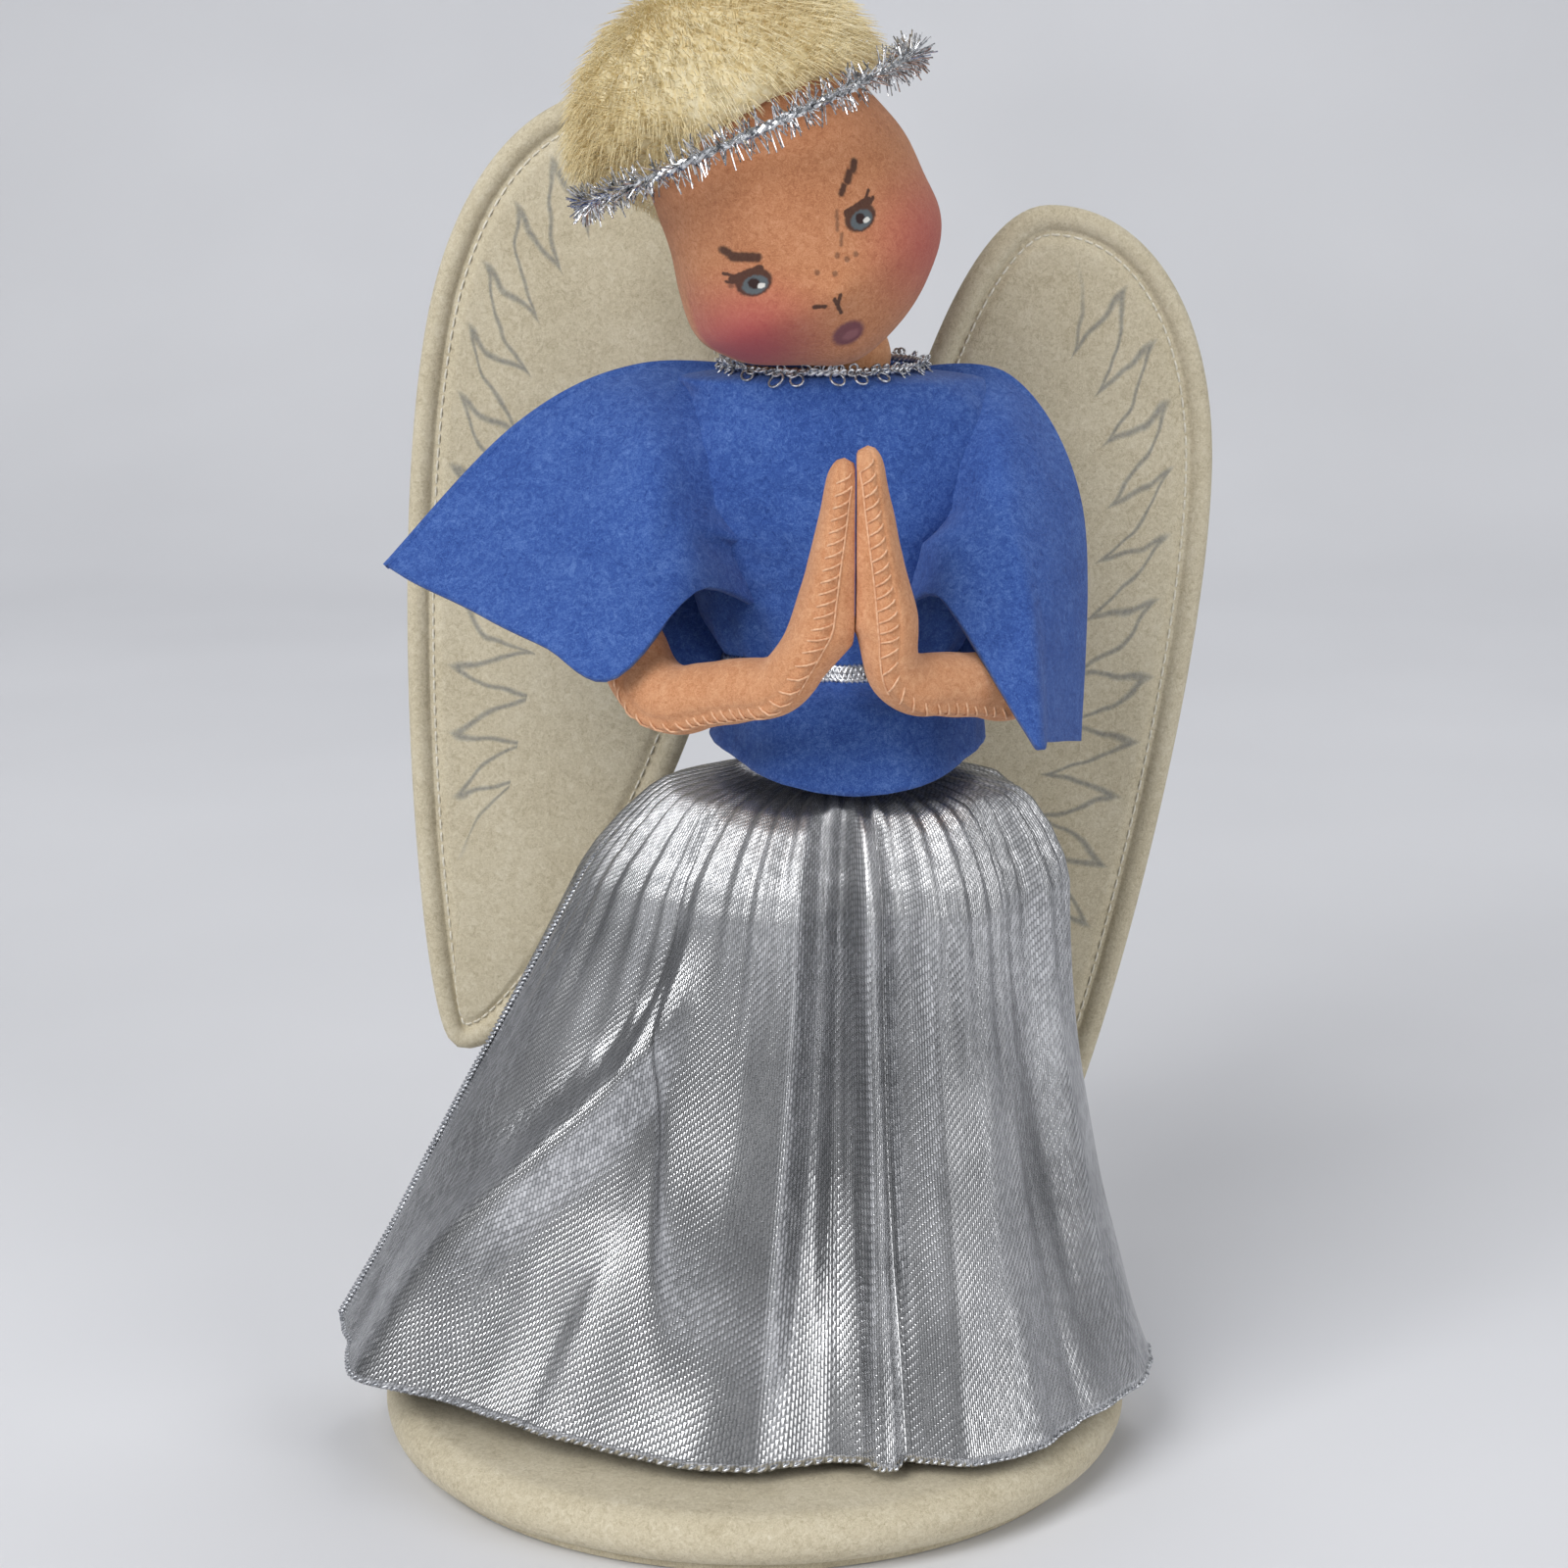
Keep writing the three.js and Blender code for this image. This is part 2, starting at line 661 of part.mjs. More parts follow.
// The tinsel: a core whose outward faces are drawn out into strands
function tinsel() {
  const steps = 56;
  const sides = 6;
  const core = loopTube(new HaloCurve(), haloNormal, HALO_CORE_R, steps, sides);
  const corners = core.getAttribute("position");
  const points = [];
  for (let i = 0; i < corners.count; i += 1) points.push(vec().fromBufferAttribute(corners, i));
  const faces = [];
  for (let i = 0; i < steps; i += 1) {
    for (let j = 0; j < sides; j += 1) {
      const ring = ((i + 1) % steps) * sides;
      const quad = [i * sides + j, i * sides + ((j + 1) % sides), ring + ((j + 1) % sides), ring + j];
      const turn = ((j + 0.5) / sides) * TAU;
      if (Math.cos(turn) < -0.2) {
        faces.push(quad[0], quad[1], quad[2], quad[0], quad[2], quad[3]);
        continue;
      }
      const middle = vec(0, 0, 0);
      quad.forEach((k) => middle.addScaledVector(points[k], 0.25));
      const out = middle.clone().sub(haloAt).projectOnPlane(haloNormal).normalize();
      const aim = out.multiplyScalar(Math.cos(turn)).addScaledVector(haloNormal, Math.sin(turn));
      const reach = HALO_STRAND * (0.8 + 0.2 * Math.cos(i * 2.4 + j * 1.7));
      const tip = points.push(middle.addScaledVector(aim, reach)) - 1;
      for (let k = 0; k < 4; k += 1) faces.push(quad[k], quad[(k + 1) % 4], tip);
    }
  }
  return surfaceGeometry(points, faces);
}

// Wings: one outline in its own frame, X outward and Z up, bent round by four quarter curves
function wingOutline(grow) {
  const half = WING_LENGTH / 2 - RIM_R + grow;
  const outer = WING_OUTER - RIM_R + grow;
  const inner = WING_INNER - RIM_R + grow;
  const widest = WING_WIDEST;
  const rise = half - widest;
  const fall = half + widest;
  const outline = new THREE.Shape();
  outline.moveTo(0, half);
  outline.bezierCurveTo(outer * 0.56, half, outer, widest + rise * 0.62, outer, widest);
  outline.bezierCurveTo(outer, widest - fall * 0.34, outer * 0.2, -half, 0, -half);
  const innerRise = WING_INNER_RISE;
  outline.bezierCurveTo(-inner * 0.3, -half, -inner, lerp(innerRise, -half, 0.5), -inner, innerRise);
  outline.bezierCurveTo(-inner, lerp(innerRise, half, 0.3), -inner * 0.5, half, 0, half);
  return outline;
}

class WingRim extends THREE.Curve {
  constructor() {
    super();
    this.outline = wingOutline(0);
  }
  getPoint(t) {
    const p = this.outline.getPointAt(t % 1);
    return vec(p.x, 0, p.y);
  }
}

const padFace = CHEST_HALF * TORSO_DEPTH + TUNIC_EASE + FELT + GAP;
const rootY = padFace + PAD_T + GAP + RIM_R;

// The wing frame's place for one side: rolled, with its innermost point on an upright line, then swept
// back about that line
function wingMatrix(side) {
  const rise = side < 0 ? RIGHT_WING_RISE : LEFT_WING_RISE;
  const roll = side < 0 ? RIGHT_WING_ROLL : LEFT_WING_ROLL;
  const out = side < 0 ? RIGHT_WING_ROOT : LEFT_WING_ROOT;
  const turned = new THREE.Matrix4().makeRotationY(rad(-side * roll));
  turned.multiply(new THREE.Matrix4().makeScale(side, 1, 1));
  const edge = new WingRim().getPoints(200).map((p) => p.applyMatrix4(turned));
  const inmost = edge.reduce((best, p) => (side * p.x < side * best.x ? p : best));
  const root = vec(FIGURE_X + side * out, rootY, baseTop + rise);
  const place = new THREE.Matrix4().makeTranslation(root);
  place.multiply(new THREE.Matrix4().makeRotationZ(rad(side * WING_SWEEP)));
  place.multiply(new THREE.Matrix4().makeTranslation(-inmost.x, 0, -inmost.z));
  return place.multiply(turned);
}

function wingFelt(face) {
  const flatCut = { depth: FELT, bevelEnabled: false, curveSegments: 8 };
  const plate = new THREE.ExtrudeGeometry(wingOutline(0), flatCut);
  plate.rotateX(rad(90));
  plate.translate(0, face < 0 ? -GAP / 2 : GAP / 2 + FELT, 0);
  const rim = solid(loopTube(new WingRim(), vec(0, 1, 0), RIM_R, 30, 6));
  const wide = 2 * WING_LENGTH;
  const deep = 4 * RIM_R;
  const behind = new THREE.BoxGeometry(wide, 2 * deep, wide).translate(0, -face * (deep - GAP / 2), 0);
  const wireWay = solid(loopTube(new WingRim(), vec(0, 1, 0), WIRE_R + GAP, 30, 4));
  return cut(wasm.Manifold.union([solid(plate), cut(rim, solid(behind))]), wireWay);
}

// Materials
const felt = (colour) => new THREE.MeshStandardMaterial({ color: colour, roughness: 0.95, metalness: 0 });
const metal = (colour, roughness) =>
  new THREE.MeshStandardMaterial({ color: colour, roughness, metalness: 0.85 });
const creamFelt = felt(0xe9e4d3);
const blueFelt = felt(0x1c49b8);
const skinFelt = felt(0xe9a77c);
const bodyFelt = felt(0xd9c9b0);
const blondPlush = felt(0xe8d9a8);
const silverLame = metal(0xc4c7cc, 0.45);
const silverTrim = metal(0xd2d5da, 0.35);
const silverTinsel = metal(0xdfe2e6, 0.2);
const wireSteel = metal(0x8d9094, 0.4);
const board = new THREE.MeshStandardMaterial({ color: 0xa98b63, roughness: 0.8, metalness: 0 });

const doll = new THREE.Group();
doll.name = "felt_angel_doll";

function add(name, made, material) {
  const mesh = new THREE.Mesh(shape(made), material.clone());
  mesh.name = name;
  doll.add(mesh);
  return made;
}

// Base
const rimHalf = (baseTop - lipLow) / 2;
const rimMiddle = (baseTop + lipLow) / 2;
const rimX = BASE_R - rimHalf;
const arc = (radius, from, to, steps) => {
  const points = [];
  for (let k = 0; k <= steps; k += 1) {
    const turn = rad(lerp(from, to, k / steps));
    points.push(flat(rimX + radius * Math.cos(turn), rimMiddle + radius * Math.sin(turn)));
  }
  return points;
};
const legX = (side) => FIGURE_X + (side * LEG_SPREAD) / 2;
const legWire = (side, grow) => {
  const low = vec(legX(side), 0, boardLow + 1 - grow);
  return solid(rod(low, vec(legX(side), 0, torsoLow + LEG_WIRE_IN_TORSO), WIRE_R + grow));
};
const legWays = [legWire(-1, GAP), legWire(1, GAP)];
const lathe = (points) => solid(new THREE.LatheGeometry(points, 32).rotateX(rad(90)));

add("base_underlay", lathe([flat(0, 0), flat(rimX, 0), flat(rimX, FELT), flat(0, FELT)]), creamFelt);
const boardForm = lathe([flat(0, boardLow), ...arc(BOARD_T / 2, -90, 90, 4), flat(0, boardTop)]);
add("base_board", cut(boardForm, ...legWays), board);
const lipX = rimX - LIP;
const coverForm = lathe([
  flat(0, baseTop - FELT),
  ...arc(rimHalf - FELT, 90, -90, 5),
  flat(lipX, lipLow + FELT),
  flat(lipX, lipLow),
  ...arc(rimHalf, -90, 90, 6),
  flat(0, baseTop),
]);
add("base_cover", cut(coverForm, ...legWays), creamFelt);

// Legs with their wires, seated on the base and cut by the torso
const torsoGrown = torsoForm(GAP);
for (const side of [-1, 1]) {
  const name = side < 0 ? "right" : "left";
  const foot = vec(legX(side), 0, baseTop + GAP);
  const hip = vec(legX(side), 0, torsoLow + HIP_RISE * 0.6);
  const calf = new THREE.SplineCurve([
    flat(ANKLE_R, 0),
    flat(ANKLE_R * 0.95, ANKLE_HEIGHT),
    flat(lerp(ANKLE_R, THIGH_R, 0.6), LEG_LENGTH * 0.4),
    flat(THIGH_R, hip.z - foot.z),
  ]);
  const points = [flat(0, 0), ...calf.getPoints(7), flat(0, hip.z - foot.z)];
  const leg = solid(aimed(new THREE.LatheGeometry(points, 10), foot, hip));
  const shoe = new THREE.SphereGeometry(1, 10, 6).scale(ANKLE_R * 1.15, FOOT_LENGTH / 2, ANKLE_R * 1.3);
  shoe.translate(foot.x, foot.y - FOOT_LENGTH / 2 + ANKLE_R, foot.z + 1);
  const floor = new THREE.BoxGeometry(BASE_R, 2 * BASE_R, FOOT_LENGTH);
  floor.translate(foot.x, 0, foot.z - FOOT_LENGTH / 2);
  const both = wasm.Manifold.union([leg, cut(solid(shoe), solid(floor))]);
  add(name + "_leg", cut(both, torsoGrown, ...legWays), skinFelt);
  add(name + "_leg_wire", legWire(side, 0), wireSteel);
}

// Torso with its wires: the spine runs behind the yoke that joins the shoulders
const spineY = 2 * (WIRE_R + GAP) + 2 * GAP;
const spineLow = vec(FIGURE_X, spineY, torsoLow + LEG_WIRE_IN_TORSO + 6 * WIRE_R);
const spineTop = vec(FIGURE_X, spineY, torsoTop - NECK_R + NECK_RISE);
const yokeEnd = (side) => armPlaces(side).shoulder;
const spine = (grow) => {
  const past = vec(0, 0, grow > 0 ? NECK_R : 0);
  return solid(rod(spineLow, spineTop.clone().add(past), WIRE_R + grow));
};
const yoke = (grow) => solid(rod(yokeEnd(-1), yokeEnd(1), WIRE_R + grow));
const neckSocket = solid(ball(neckAt, NECK_R + GAP));
const shoulderSockets = [-1, 1].map((side) => solid(ball(armPlaces(side).shoulder, SHOULDER_BALL + GAP)));
const torsoWays = [neckSocket, ...shoulderSockets, spine(GAP), yoke(GAP), ...legWays];
add("torso", cut(torsoForm(0), ...torsoWays), bodyFelt);
add("spine_wire", cut(spine(0), neckSocket), wireSteel);
add("yoke_wire", cut(yoke(0), ...shoulderSockets), wireSteel);

// Neck and head
const neckWire = (grow) => {
  const half = vec(0, 0, NECK_R * 2);
  return solid(rod(neckAt.clone().sub(half), neckAt.clone().add(half), WIRE_R + grow));
};
const neckBall = solid(ball(neckAt, NECK_R));
add("neck", cut(neckBall, neckWire(GAP)), skinFelt);
add("neck_wire", neckWire(0).intersect(neckBall), wireSteel);
const headWireTop = headAt.clone().addScaledVector(headUp, HEAD_HEIGHT * 0.1);
const headWire = (grow) =>
  solid(rod(neckAt, headWireTop.clone().addScaledVector(headUp, grow), WIRE_R + grow));
add("head", cut(headForm(0, 22), neckSocket, headWire(GAP)), skinFelt);
add("head_wire", cut(headWire(0), neckSocket), wireSteel);

// Hair: a plush cap over the head, open at the face, high at the sides and lower at the back
const haloGrown = solid(loopTube(new HaloCurve(), haloNormal, HALO_CORE_R + GAP, 48, 6));
const faceOpening = new THREE.SphereGeometry(1, 20, 12).scale(FACE_HALF, HEAD_HALF * 1.2, HEAD_HEIGHT * 0.4);
faceOpening.translate(0, -HEAD_HALF * 1.2, headLow + HEAD_HEIGHT * 0.27).applyMatrix4(headMatrix);
const underHair = (tilt) => {
  const box = new THREE.BoxGeometry(3 * HEAD_HEIGHT, 3 * HEAD_HEIGHT, HEAD_HEIGHT);
  box.translate(0, 0, -HEAD_HEIGHT / 2).rotateX(rad(-tilt));
  box.translate(0, 0, headLow + HEAD_HEIGHT * HAIRLINE_RISE).applyMatrix4(headMatrix);
  return solid(box);
};
const bare = underHair(HAIRLINE_SIDE_TILT).intersect(underHair(HAIRLINE_BACK_TILT));
const hairForm = cut(headForm(HAIR_T, 22), headForm(GAP, 22), solid(faceOpening), bare, haloGrown);
add("hair", hairForm, blondPlush);
add("halo", solid(tinsel()), silverTinsel);

// Arms
for (const side of [-1, 1]) {
  const name = side < 0 ? "right" : "left";
  const { shoulder, elbow, wrist, tip, upperEnd, foreEnd } = armPlaces(side);
  const wire = (from, to, grow) => {
    const past = to.clone().sub(from).normalize().multiplyScalar(grow * 10);
    return solid(rod(from, to.clone().add(past), WIRE_R + grow));
  };
  const handWireEnd = wrist.clone().lerp(tip, 0.6);
  const handWireStart = wrist.clone().lerp(tip, -WRIST_R / HAND_LENGTH);
  const handWire = (grow) => solid(rod(handWireEnd, handWireStart.clone().lerp(wrist, -grow), WIRE_R + grow));
  add(name + "_upper_arm", cut(upperArmForm(side, 0), wire(shoulder, upperEnd, GAP)), skinFelt);
  add(name + "_upper_arm_wire", wire(shoulder, upperEnd, 0), wireSteel);
  add(name + "_forearm", cut(forearmForm(side, 0), wire(elbow, foreEnd, GAP)), skinFelt);
  add(name + "_forearm_wire", wire(elbow, foreEnd, 0), wireSteel);
  add(name + "_hand", cut(handForm(side, 0), handWire(GAP)), skinFelt);
  add(name + "_hand_wire", handWire(0), wireSteel);
}

// Tunic, opened round the arms, and its sleeves
const armholes = [-1, 1].map((side) => solid(ball(armPlaces(side).shoulder, SHOULDER_BALL + ARMHOLE_EASE)));
const armsGrown = [-1, 1].map((side) => upperArmForm(side, GAP));
add("tunic", cut(tunicShell(), ...armholes, ...armsGrown, neckSocket), blueFelt);
const tunicBlock = tunicFilled(GAP);
for (const side of [-1, 1]) {
  const name = side < 0 ? "right" : "left";
  const armBlock = [upperArmForm(side, GAP), forearmForm(side, GAP), handForm(side, GAP)];
  add(name + "_sleeve", cut(sleeveForm(side), tunicBlock, ...armBlock), blueFelt);
}

// Belt round the tunic's waist
function band(low, high, inside, thick) {
  const at = (angle, t, extra) => {
    const wide = inside + extra;
    const deep = inside * TORSO_DEPTH + extra;
    return vec(FIGURE_X + wide * Math.cos(angle), deep * Math.sin(angle), lerp(low, high, t));
  };
  return solid(shell((a, t) => at(a, t, thick), (a, t) => at(a, t, 0), 1, 30));
}
const beltLow = waistZ - BELT_HEIGHT / 2;
const beltHigh = waistZ + BELT_HEIGHT / 2;
const beltInside = (widestBetween(beltLow, beltHigh) + TUNIC_EASE + FELT) / TORSO_DEPTH ** 0.25 + GAP;
add("belt", cut(band(beltLow, beltHigh, beltInside, BELT_T), tunicBlock), silverTrim);

// Collar: a ring of small loops on the tunic's neckline
class CollarCurve extends THREE.Curve {
  getPoint(t) {
    const turn = t * TAU;
    const edge = tunicPoint(turn, 0.955, FELT + 2 * GAP + COLLAR_R);
    const swell = 1 + (COLLAR_LOOP_R / SHOULDER_HALF) * Math.cos(COLLAR_LOOPS * turn);
    return vec(FIGURE_X + (edge.x - FIGURE_X) * swell, edge.y * swell, edge.z);
  }
}
const collarForm = solid(loopTube(new CollarCurve(), vec(0, 0, 1), COLLAR_R, COLLAR_LOOPS * 4, 4));
add("collar_trim", cut(collarForm, tunicBlock, headForm(GAP, 22), neckSocket), silverTrim);

// Skirt and the band that holds its gathers
const bandInside = widestBetween(bandTop - BAND_HEIGHT, bandTop) + GAP;
add("skirt_waistband", cut(band(bandTop - BAND_HEIGHT, bandTop, bandInside, BAND_T), torsoGrown), blueFelt);
add("skirt", solid(shell((a, t) => skirtPoint(a, 1 - t), (a, t) => skirtInner(a, 1 - t), 8, 60)), silverLame);

// Wings and the pad on the tunic's back that carries them
const padLow = beltHigh + PAD_ABOVE_BELT;
const padTop = shoulderZ + PAD_ABOVE_SHOULDER;
const padSink = PAD_T * 0.75;
const padForm = new THREE.BoxGeometry(2 * PAD_HALF, PAD_T + padSink, padTop - padLow);
padForm.translate(FIGURE_X, padFace + (PAD_T - padSink) / 2, (padLow + padTop) / 2);
const rimGrown = (side) =>
  solid(loopTube(new WingRim(), vec(0, 1, 0), RIM_R + GAP, 30, 6).applyMatrix4(wingMatrix(side)));
add("wing_pad", cut(solid(padForm), tunicBlock, rimGrown(-1), rimGrown(1)), creamFelt);
for (const side of [-1, 1]) {
  const name = side < 0 ? "right" : "left";
  const place = wingMatrix(side);
  const rimWire = loopTube(new WingRim(), vec(0, 1, 0), WIRE_R, 30, 4);
  add(name + "_wing_front", solid(shape(wingFelt(-1)).applyMatrix4(place)), creamFelt);
  add(name + "_wing_back", solid(shape(wingFelt(1)).applyMatrix4(place)), creamFelt);
  add(name + "_wing_wire", solid(rimWire.applyMatrix4(place)), wireSteel);
}

export default doll;
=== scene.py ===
import bisect
import math
import random
from functools import lru_cache

import bmesh
import bpy
from mathutils import Matrix, Vector, noise


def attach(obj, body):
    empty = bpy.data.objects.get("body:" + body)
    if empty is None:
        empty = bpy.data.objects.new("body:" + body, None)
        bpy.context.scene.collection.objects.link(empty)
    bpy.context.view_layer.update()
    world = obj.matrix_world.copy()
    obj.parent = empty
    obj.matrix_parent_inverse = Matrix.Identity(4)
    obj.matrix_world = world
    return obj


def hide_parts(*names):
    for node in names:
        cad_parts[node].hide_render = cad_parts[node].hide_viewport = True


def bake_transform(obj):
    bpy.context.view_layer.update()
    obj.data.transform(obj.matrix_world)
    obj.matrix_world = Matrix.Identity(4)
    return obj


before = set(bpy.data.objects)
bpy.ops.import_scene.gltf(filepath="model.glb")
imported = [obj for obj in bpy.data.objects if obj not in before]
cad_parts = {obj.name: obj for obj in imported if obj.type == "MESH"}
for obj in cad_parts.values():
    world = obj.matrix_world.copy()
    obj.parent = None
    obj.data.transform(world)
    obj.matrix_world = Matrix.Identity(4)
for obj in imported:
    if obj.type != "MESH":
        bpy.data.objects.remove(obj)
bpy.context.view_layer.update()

unit = 0.001  # forms are in millimetres; cut sizes, areas and the floor are in metres
circle = 2 * math.pi
felt = 1.6
gap = 0.3
figureX = 16  # the figure stands a little to its left of the base's middle
sideName = {-1: "right", 1: "left"}  # the doll's own sides
scene = bpy.context.scene


# small sums

def clampTo(value, low=0.0, high=1.0):
    return min(max(value, low), high)


def smoothStep(value, low, high):
    part = clampTo((value - low) / (high - low))
    return part * part * (3 - 2 * part)


def between(first, last, part):
    return first + (last - first) * part


def bell(value, middle, wide):
    return math.exp(-((value - middle) / wide) ** 2)


def hump(value, up, down):  # rises over one span, falls over the other
    return smoothStep(value, *up) * (1 - smoothStep(value, *down))


def glide(p0, p1, p2, p3, w):  # from p1 to p2, leaving and arriving in line with their neighbours
    v0, v1 = (p2 - p0) * 0.5, (p3 - p1) * 0.5
    return (2 * p1 - 2 * p2 + v0 + v1) * w ** 3 + (3 * p2 - 3 * p1 - 2 * v0 - v1) * w ** 2 + v0 * w + p1


def profileAt(points, part):  # a smooth curve through points, evenly spaced in part
    last = len(points) - 1
    place = clampTo(part) * last
    i = min(int(place), last - 1)
    return glide(*(Vector(points[clampTo(k, 0, last)]) for k in (i - 1, i, i + 1, i + 2)), place - i)


def loopAt(points, part):  # the same, closed
    place = (part % 1) * len(points)
    i = int(place)
    return glide(*(Vector(points[k % len(points)]) for k in (i - 1, i, i + 1, i + 2)), place - i)


def profileRun(points, part):
    return (profileAt(points, part + 1e-4) - profileAt(points, part - 1e-4)).normalized()


def arc(first, peak, last, t):  # a bend from first to last, drawn toward peak
    return first * (1 - t) ** 2 + peak * 2 * t * (1 - t) + last * t * t


def runLengths(path):  # how far along the path each point is
    runs = [0.0]
    for a, b in zip(path, path[1:]):
        runs.append(runs[-1] + (b - a).length)
    return runs


def pointAlong(path, runs, want):
    i = min(bisect.bisect_right(runs, want), len(path) - 1) - 1
    return path[i].lerp(path[i + 1], (want - runs[i]) / (runs[i + 1] - runs[i]))


def outward(angle):
    return Vector((math.cos(angle), math.sin(angle), 0))


def bump3(point, scale):  # soft unevenness, about -1 to 1
    return noise.noise(Vector(point) * scale)


# meshes

def wrapGrid(bm, across, along, place, uvPlace=None):  # quads laid on place(u, v), welded where they meet
    uvLayer = bm.loops.layers.uv.verify()
    made = bmesh.ops.create_grid(bm, x_segments=across, y_segments=along, size=1)["verts"]
    spots = {vert: ((vert.co.x + 1) / 2, (vert.co.y + 1) / 2) for vert in made}
    for face in {face for vert in made for face in vert.link_faces}:
        for loop in face.loops:
            u, v = spots[loop.vert]
            loop[uvLayer].uv = uvPlace(u, v) if uvPlace else (u, v)
    for vert, (u, v) in spots.items():
        vert.co = Vector(place(u, v)) * unit
    bmesh.ops.remove_doubles(bm, verts=made, dist=2e-6)


def onlyKind(geom, kind):
    return [item for item in geom if isinstance(item, kind)]


def meshPiece(name, bm, *paints, smooth=True, turnOut=True):
    if turnOut:
        bmesh.ops.recalc_face_normals(bm, faces=bm.faces)
    mesh = bpy.data.meshes.new(name)
    bm.to_mesh(mesh)
    bm.free()
    mesh.polygons.foreach_set("use_smooth", [smooth] * len(mesh.polygons))
    for paint in paints:
        mesh.materials.append(paint.material)
    piece = bpy.data.objects.new(name, mesh)
    scene.collection.objects.link(piece)
    return piece


def thicken(piece, thick, even=True):  # inward from the outer face
    wall = piece.modifiers.new("wall", "SOLIDIFY")
    wall.thickness = thick * unit
    wall.offset = -1
    wall.use_even_offset = even
    return piece


def roundOff(piece):
    fine = piece.modifiers.new("fine", "SUBSURF")
    fine.levels = 1
    fine.render_levels = 1
    return piece


def applyAll(piece):  # modifiers become mesh
    made = bpy.data.meshes.new_from_object(piece.evaluated_get(bpy.context.evaluated_depsgraph_get()))
    piece.modifiers.clear()
    piece.data = made
    return piece


def addThreads(bm, paths, thick, sides=0, closed=False, taper=None, slot=0):  # round threads along the paths
    line = bpy.data.curves.new("threads", "CURVE")
    line.dimensions = "3D"
    line.bevel_depth = thick * unit
    line.bevel_resolution = sides
    line.use_fill_caps = not closed
    for path in paths:
        strand = line.splines.new("POLY")
        strand.points.add(len(path) - 1)
        for i, (spot, point) in enumerate(zip(strand.points, path)):
            spot.co = (*(Vector(point) * unit), 1)
            spot.radius = taper[i] if taper else 1
        strand.use_cyclic_u = closed
    holder = bpy.data.objects.new("threads", line)
    scene.collection.objects.link(holder)
    made = bpy.data.meshes.new_from_object(holder.evaluated_get(bpy.context.evaluated_depsgraph_get()))
    before = len(bm.faces)
    bm.from_mesh(made)
    bm.faces.ensure_lookup_table()
    for face in bm.faces[before:]:
        face.material_index = slot
    bpy.data.objects.remove(holder)
    bpy.data.curves.remove(line)
    bpy.data.meshes.remove(made)


def twistedCords(bm, facts, place):  # two cords wound round each other, each point by place(angle, out, up)
    for k in range(2):
        path = []
        for i in range(facts["steps"]):
            part = i / facts["steps"]
            twist = circle * (facts["turns"] * part + k / 2)
            out, up = facts["twistR"] * math.cos(twist), facts["twistR"] * math.sin(twist)
            path.append(place(circle * part, out, up))
        addThreads(bm, [path], facts["cord"], 1, closed=True)


def softCopy(name, node, paint, voxel, rounds):  # the CAD form, remeshed and worn soft
    bm = bmesh.new()
    bm.from_mesh(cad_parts[node].data)
    bmesh.ops.remove_doubles(bm, verts=bm.verts, dist=1e-6)
    piece = meshPiece(name, bm, paint, turnOut=False)
    piece.modifiers.new("remesh", "REMESH").voxel_size = voxel * unit
    applyAll(piece)
    bm = bmesh.new()
    bm.from_mesh(piece.data)
    for _ in range(rounds):
        bmesh.ops.smooth_vert(bm, verts=bm.verts, factor=0.5, use_axis_x=True, use_axis_y=True,
                              use_axis_z=True)
    bm.to_mesh(piece.data)
    bm.free()
    piece.data.polygons.foreach_set("use_smooth", [True] * len(piece.data.polygons))
    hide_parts(node)
    return piece


# paints

class Wire:  # a value on its way through a paint's nodes
    def __init__(self, paint, socket):
        self.paint = paint
        self.socket = socket

    def sum(self, operation, first, second=0.0):
        return self.paint.node("ShaderNodeMath", {"operation": operation}, {0: first, 1: second})

    def __add__(self, other):
        return self.sum("ADD", self, other)

    __radd__ = __add__

    def __sub__(self, other):
        return self.sum("SUBTRACT", self, other)

    def __rsub__(self, other):
        return self.sum("SUBTRACT", other, self)

    def __mul__(self, other):
        return self.sum("MULTIPLY", self, other)

    def __truediv__(self, other):
        return self.sum("DIVIDE", self, other)

    def __pow__(self, other):
        return self.sum("POWER", self, other)

    def __abs__(self):
        return self.sum("ABSOLUTE", self)

    def most(self, other):
        return self.sum("MAXIMUM", self, other)

    def least(self, other):
        return self.sum("MINIMUM", self, other)

    def wave(self):
        return self.sum("SINE", self)

    def floor(self):
        return self.sum("FLOOR", self)

    def rest(self):
        return self.sum("FRACT", self)


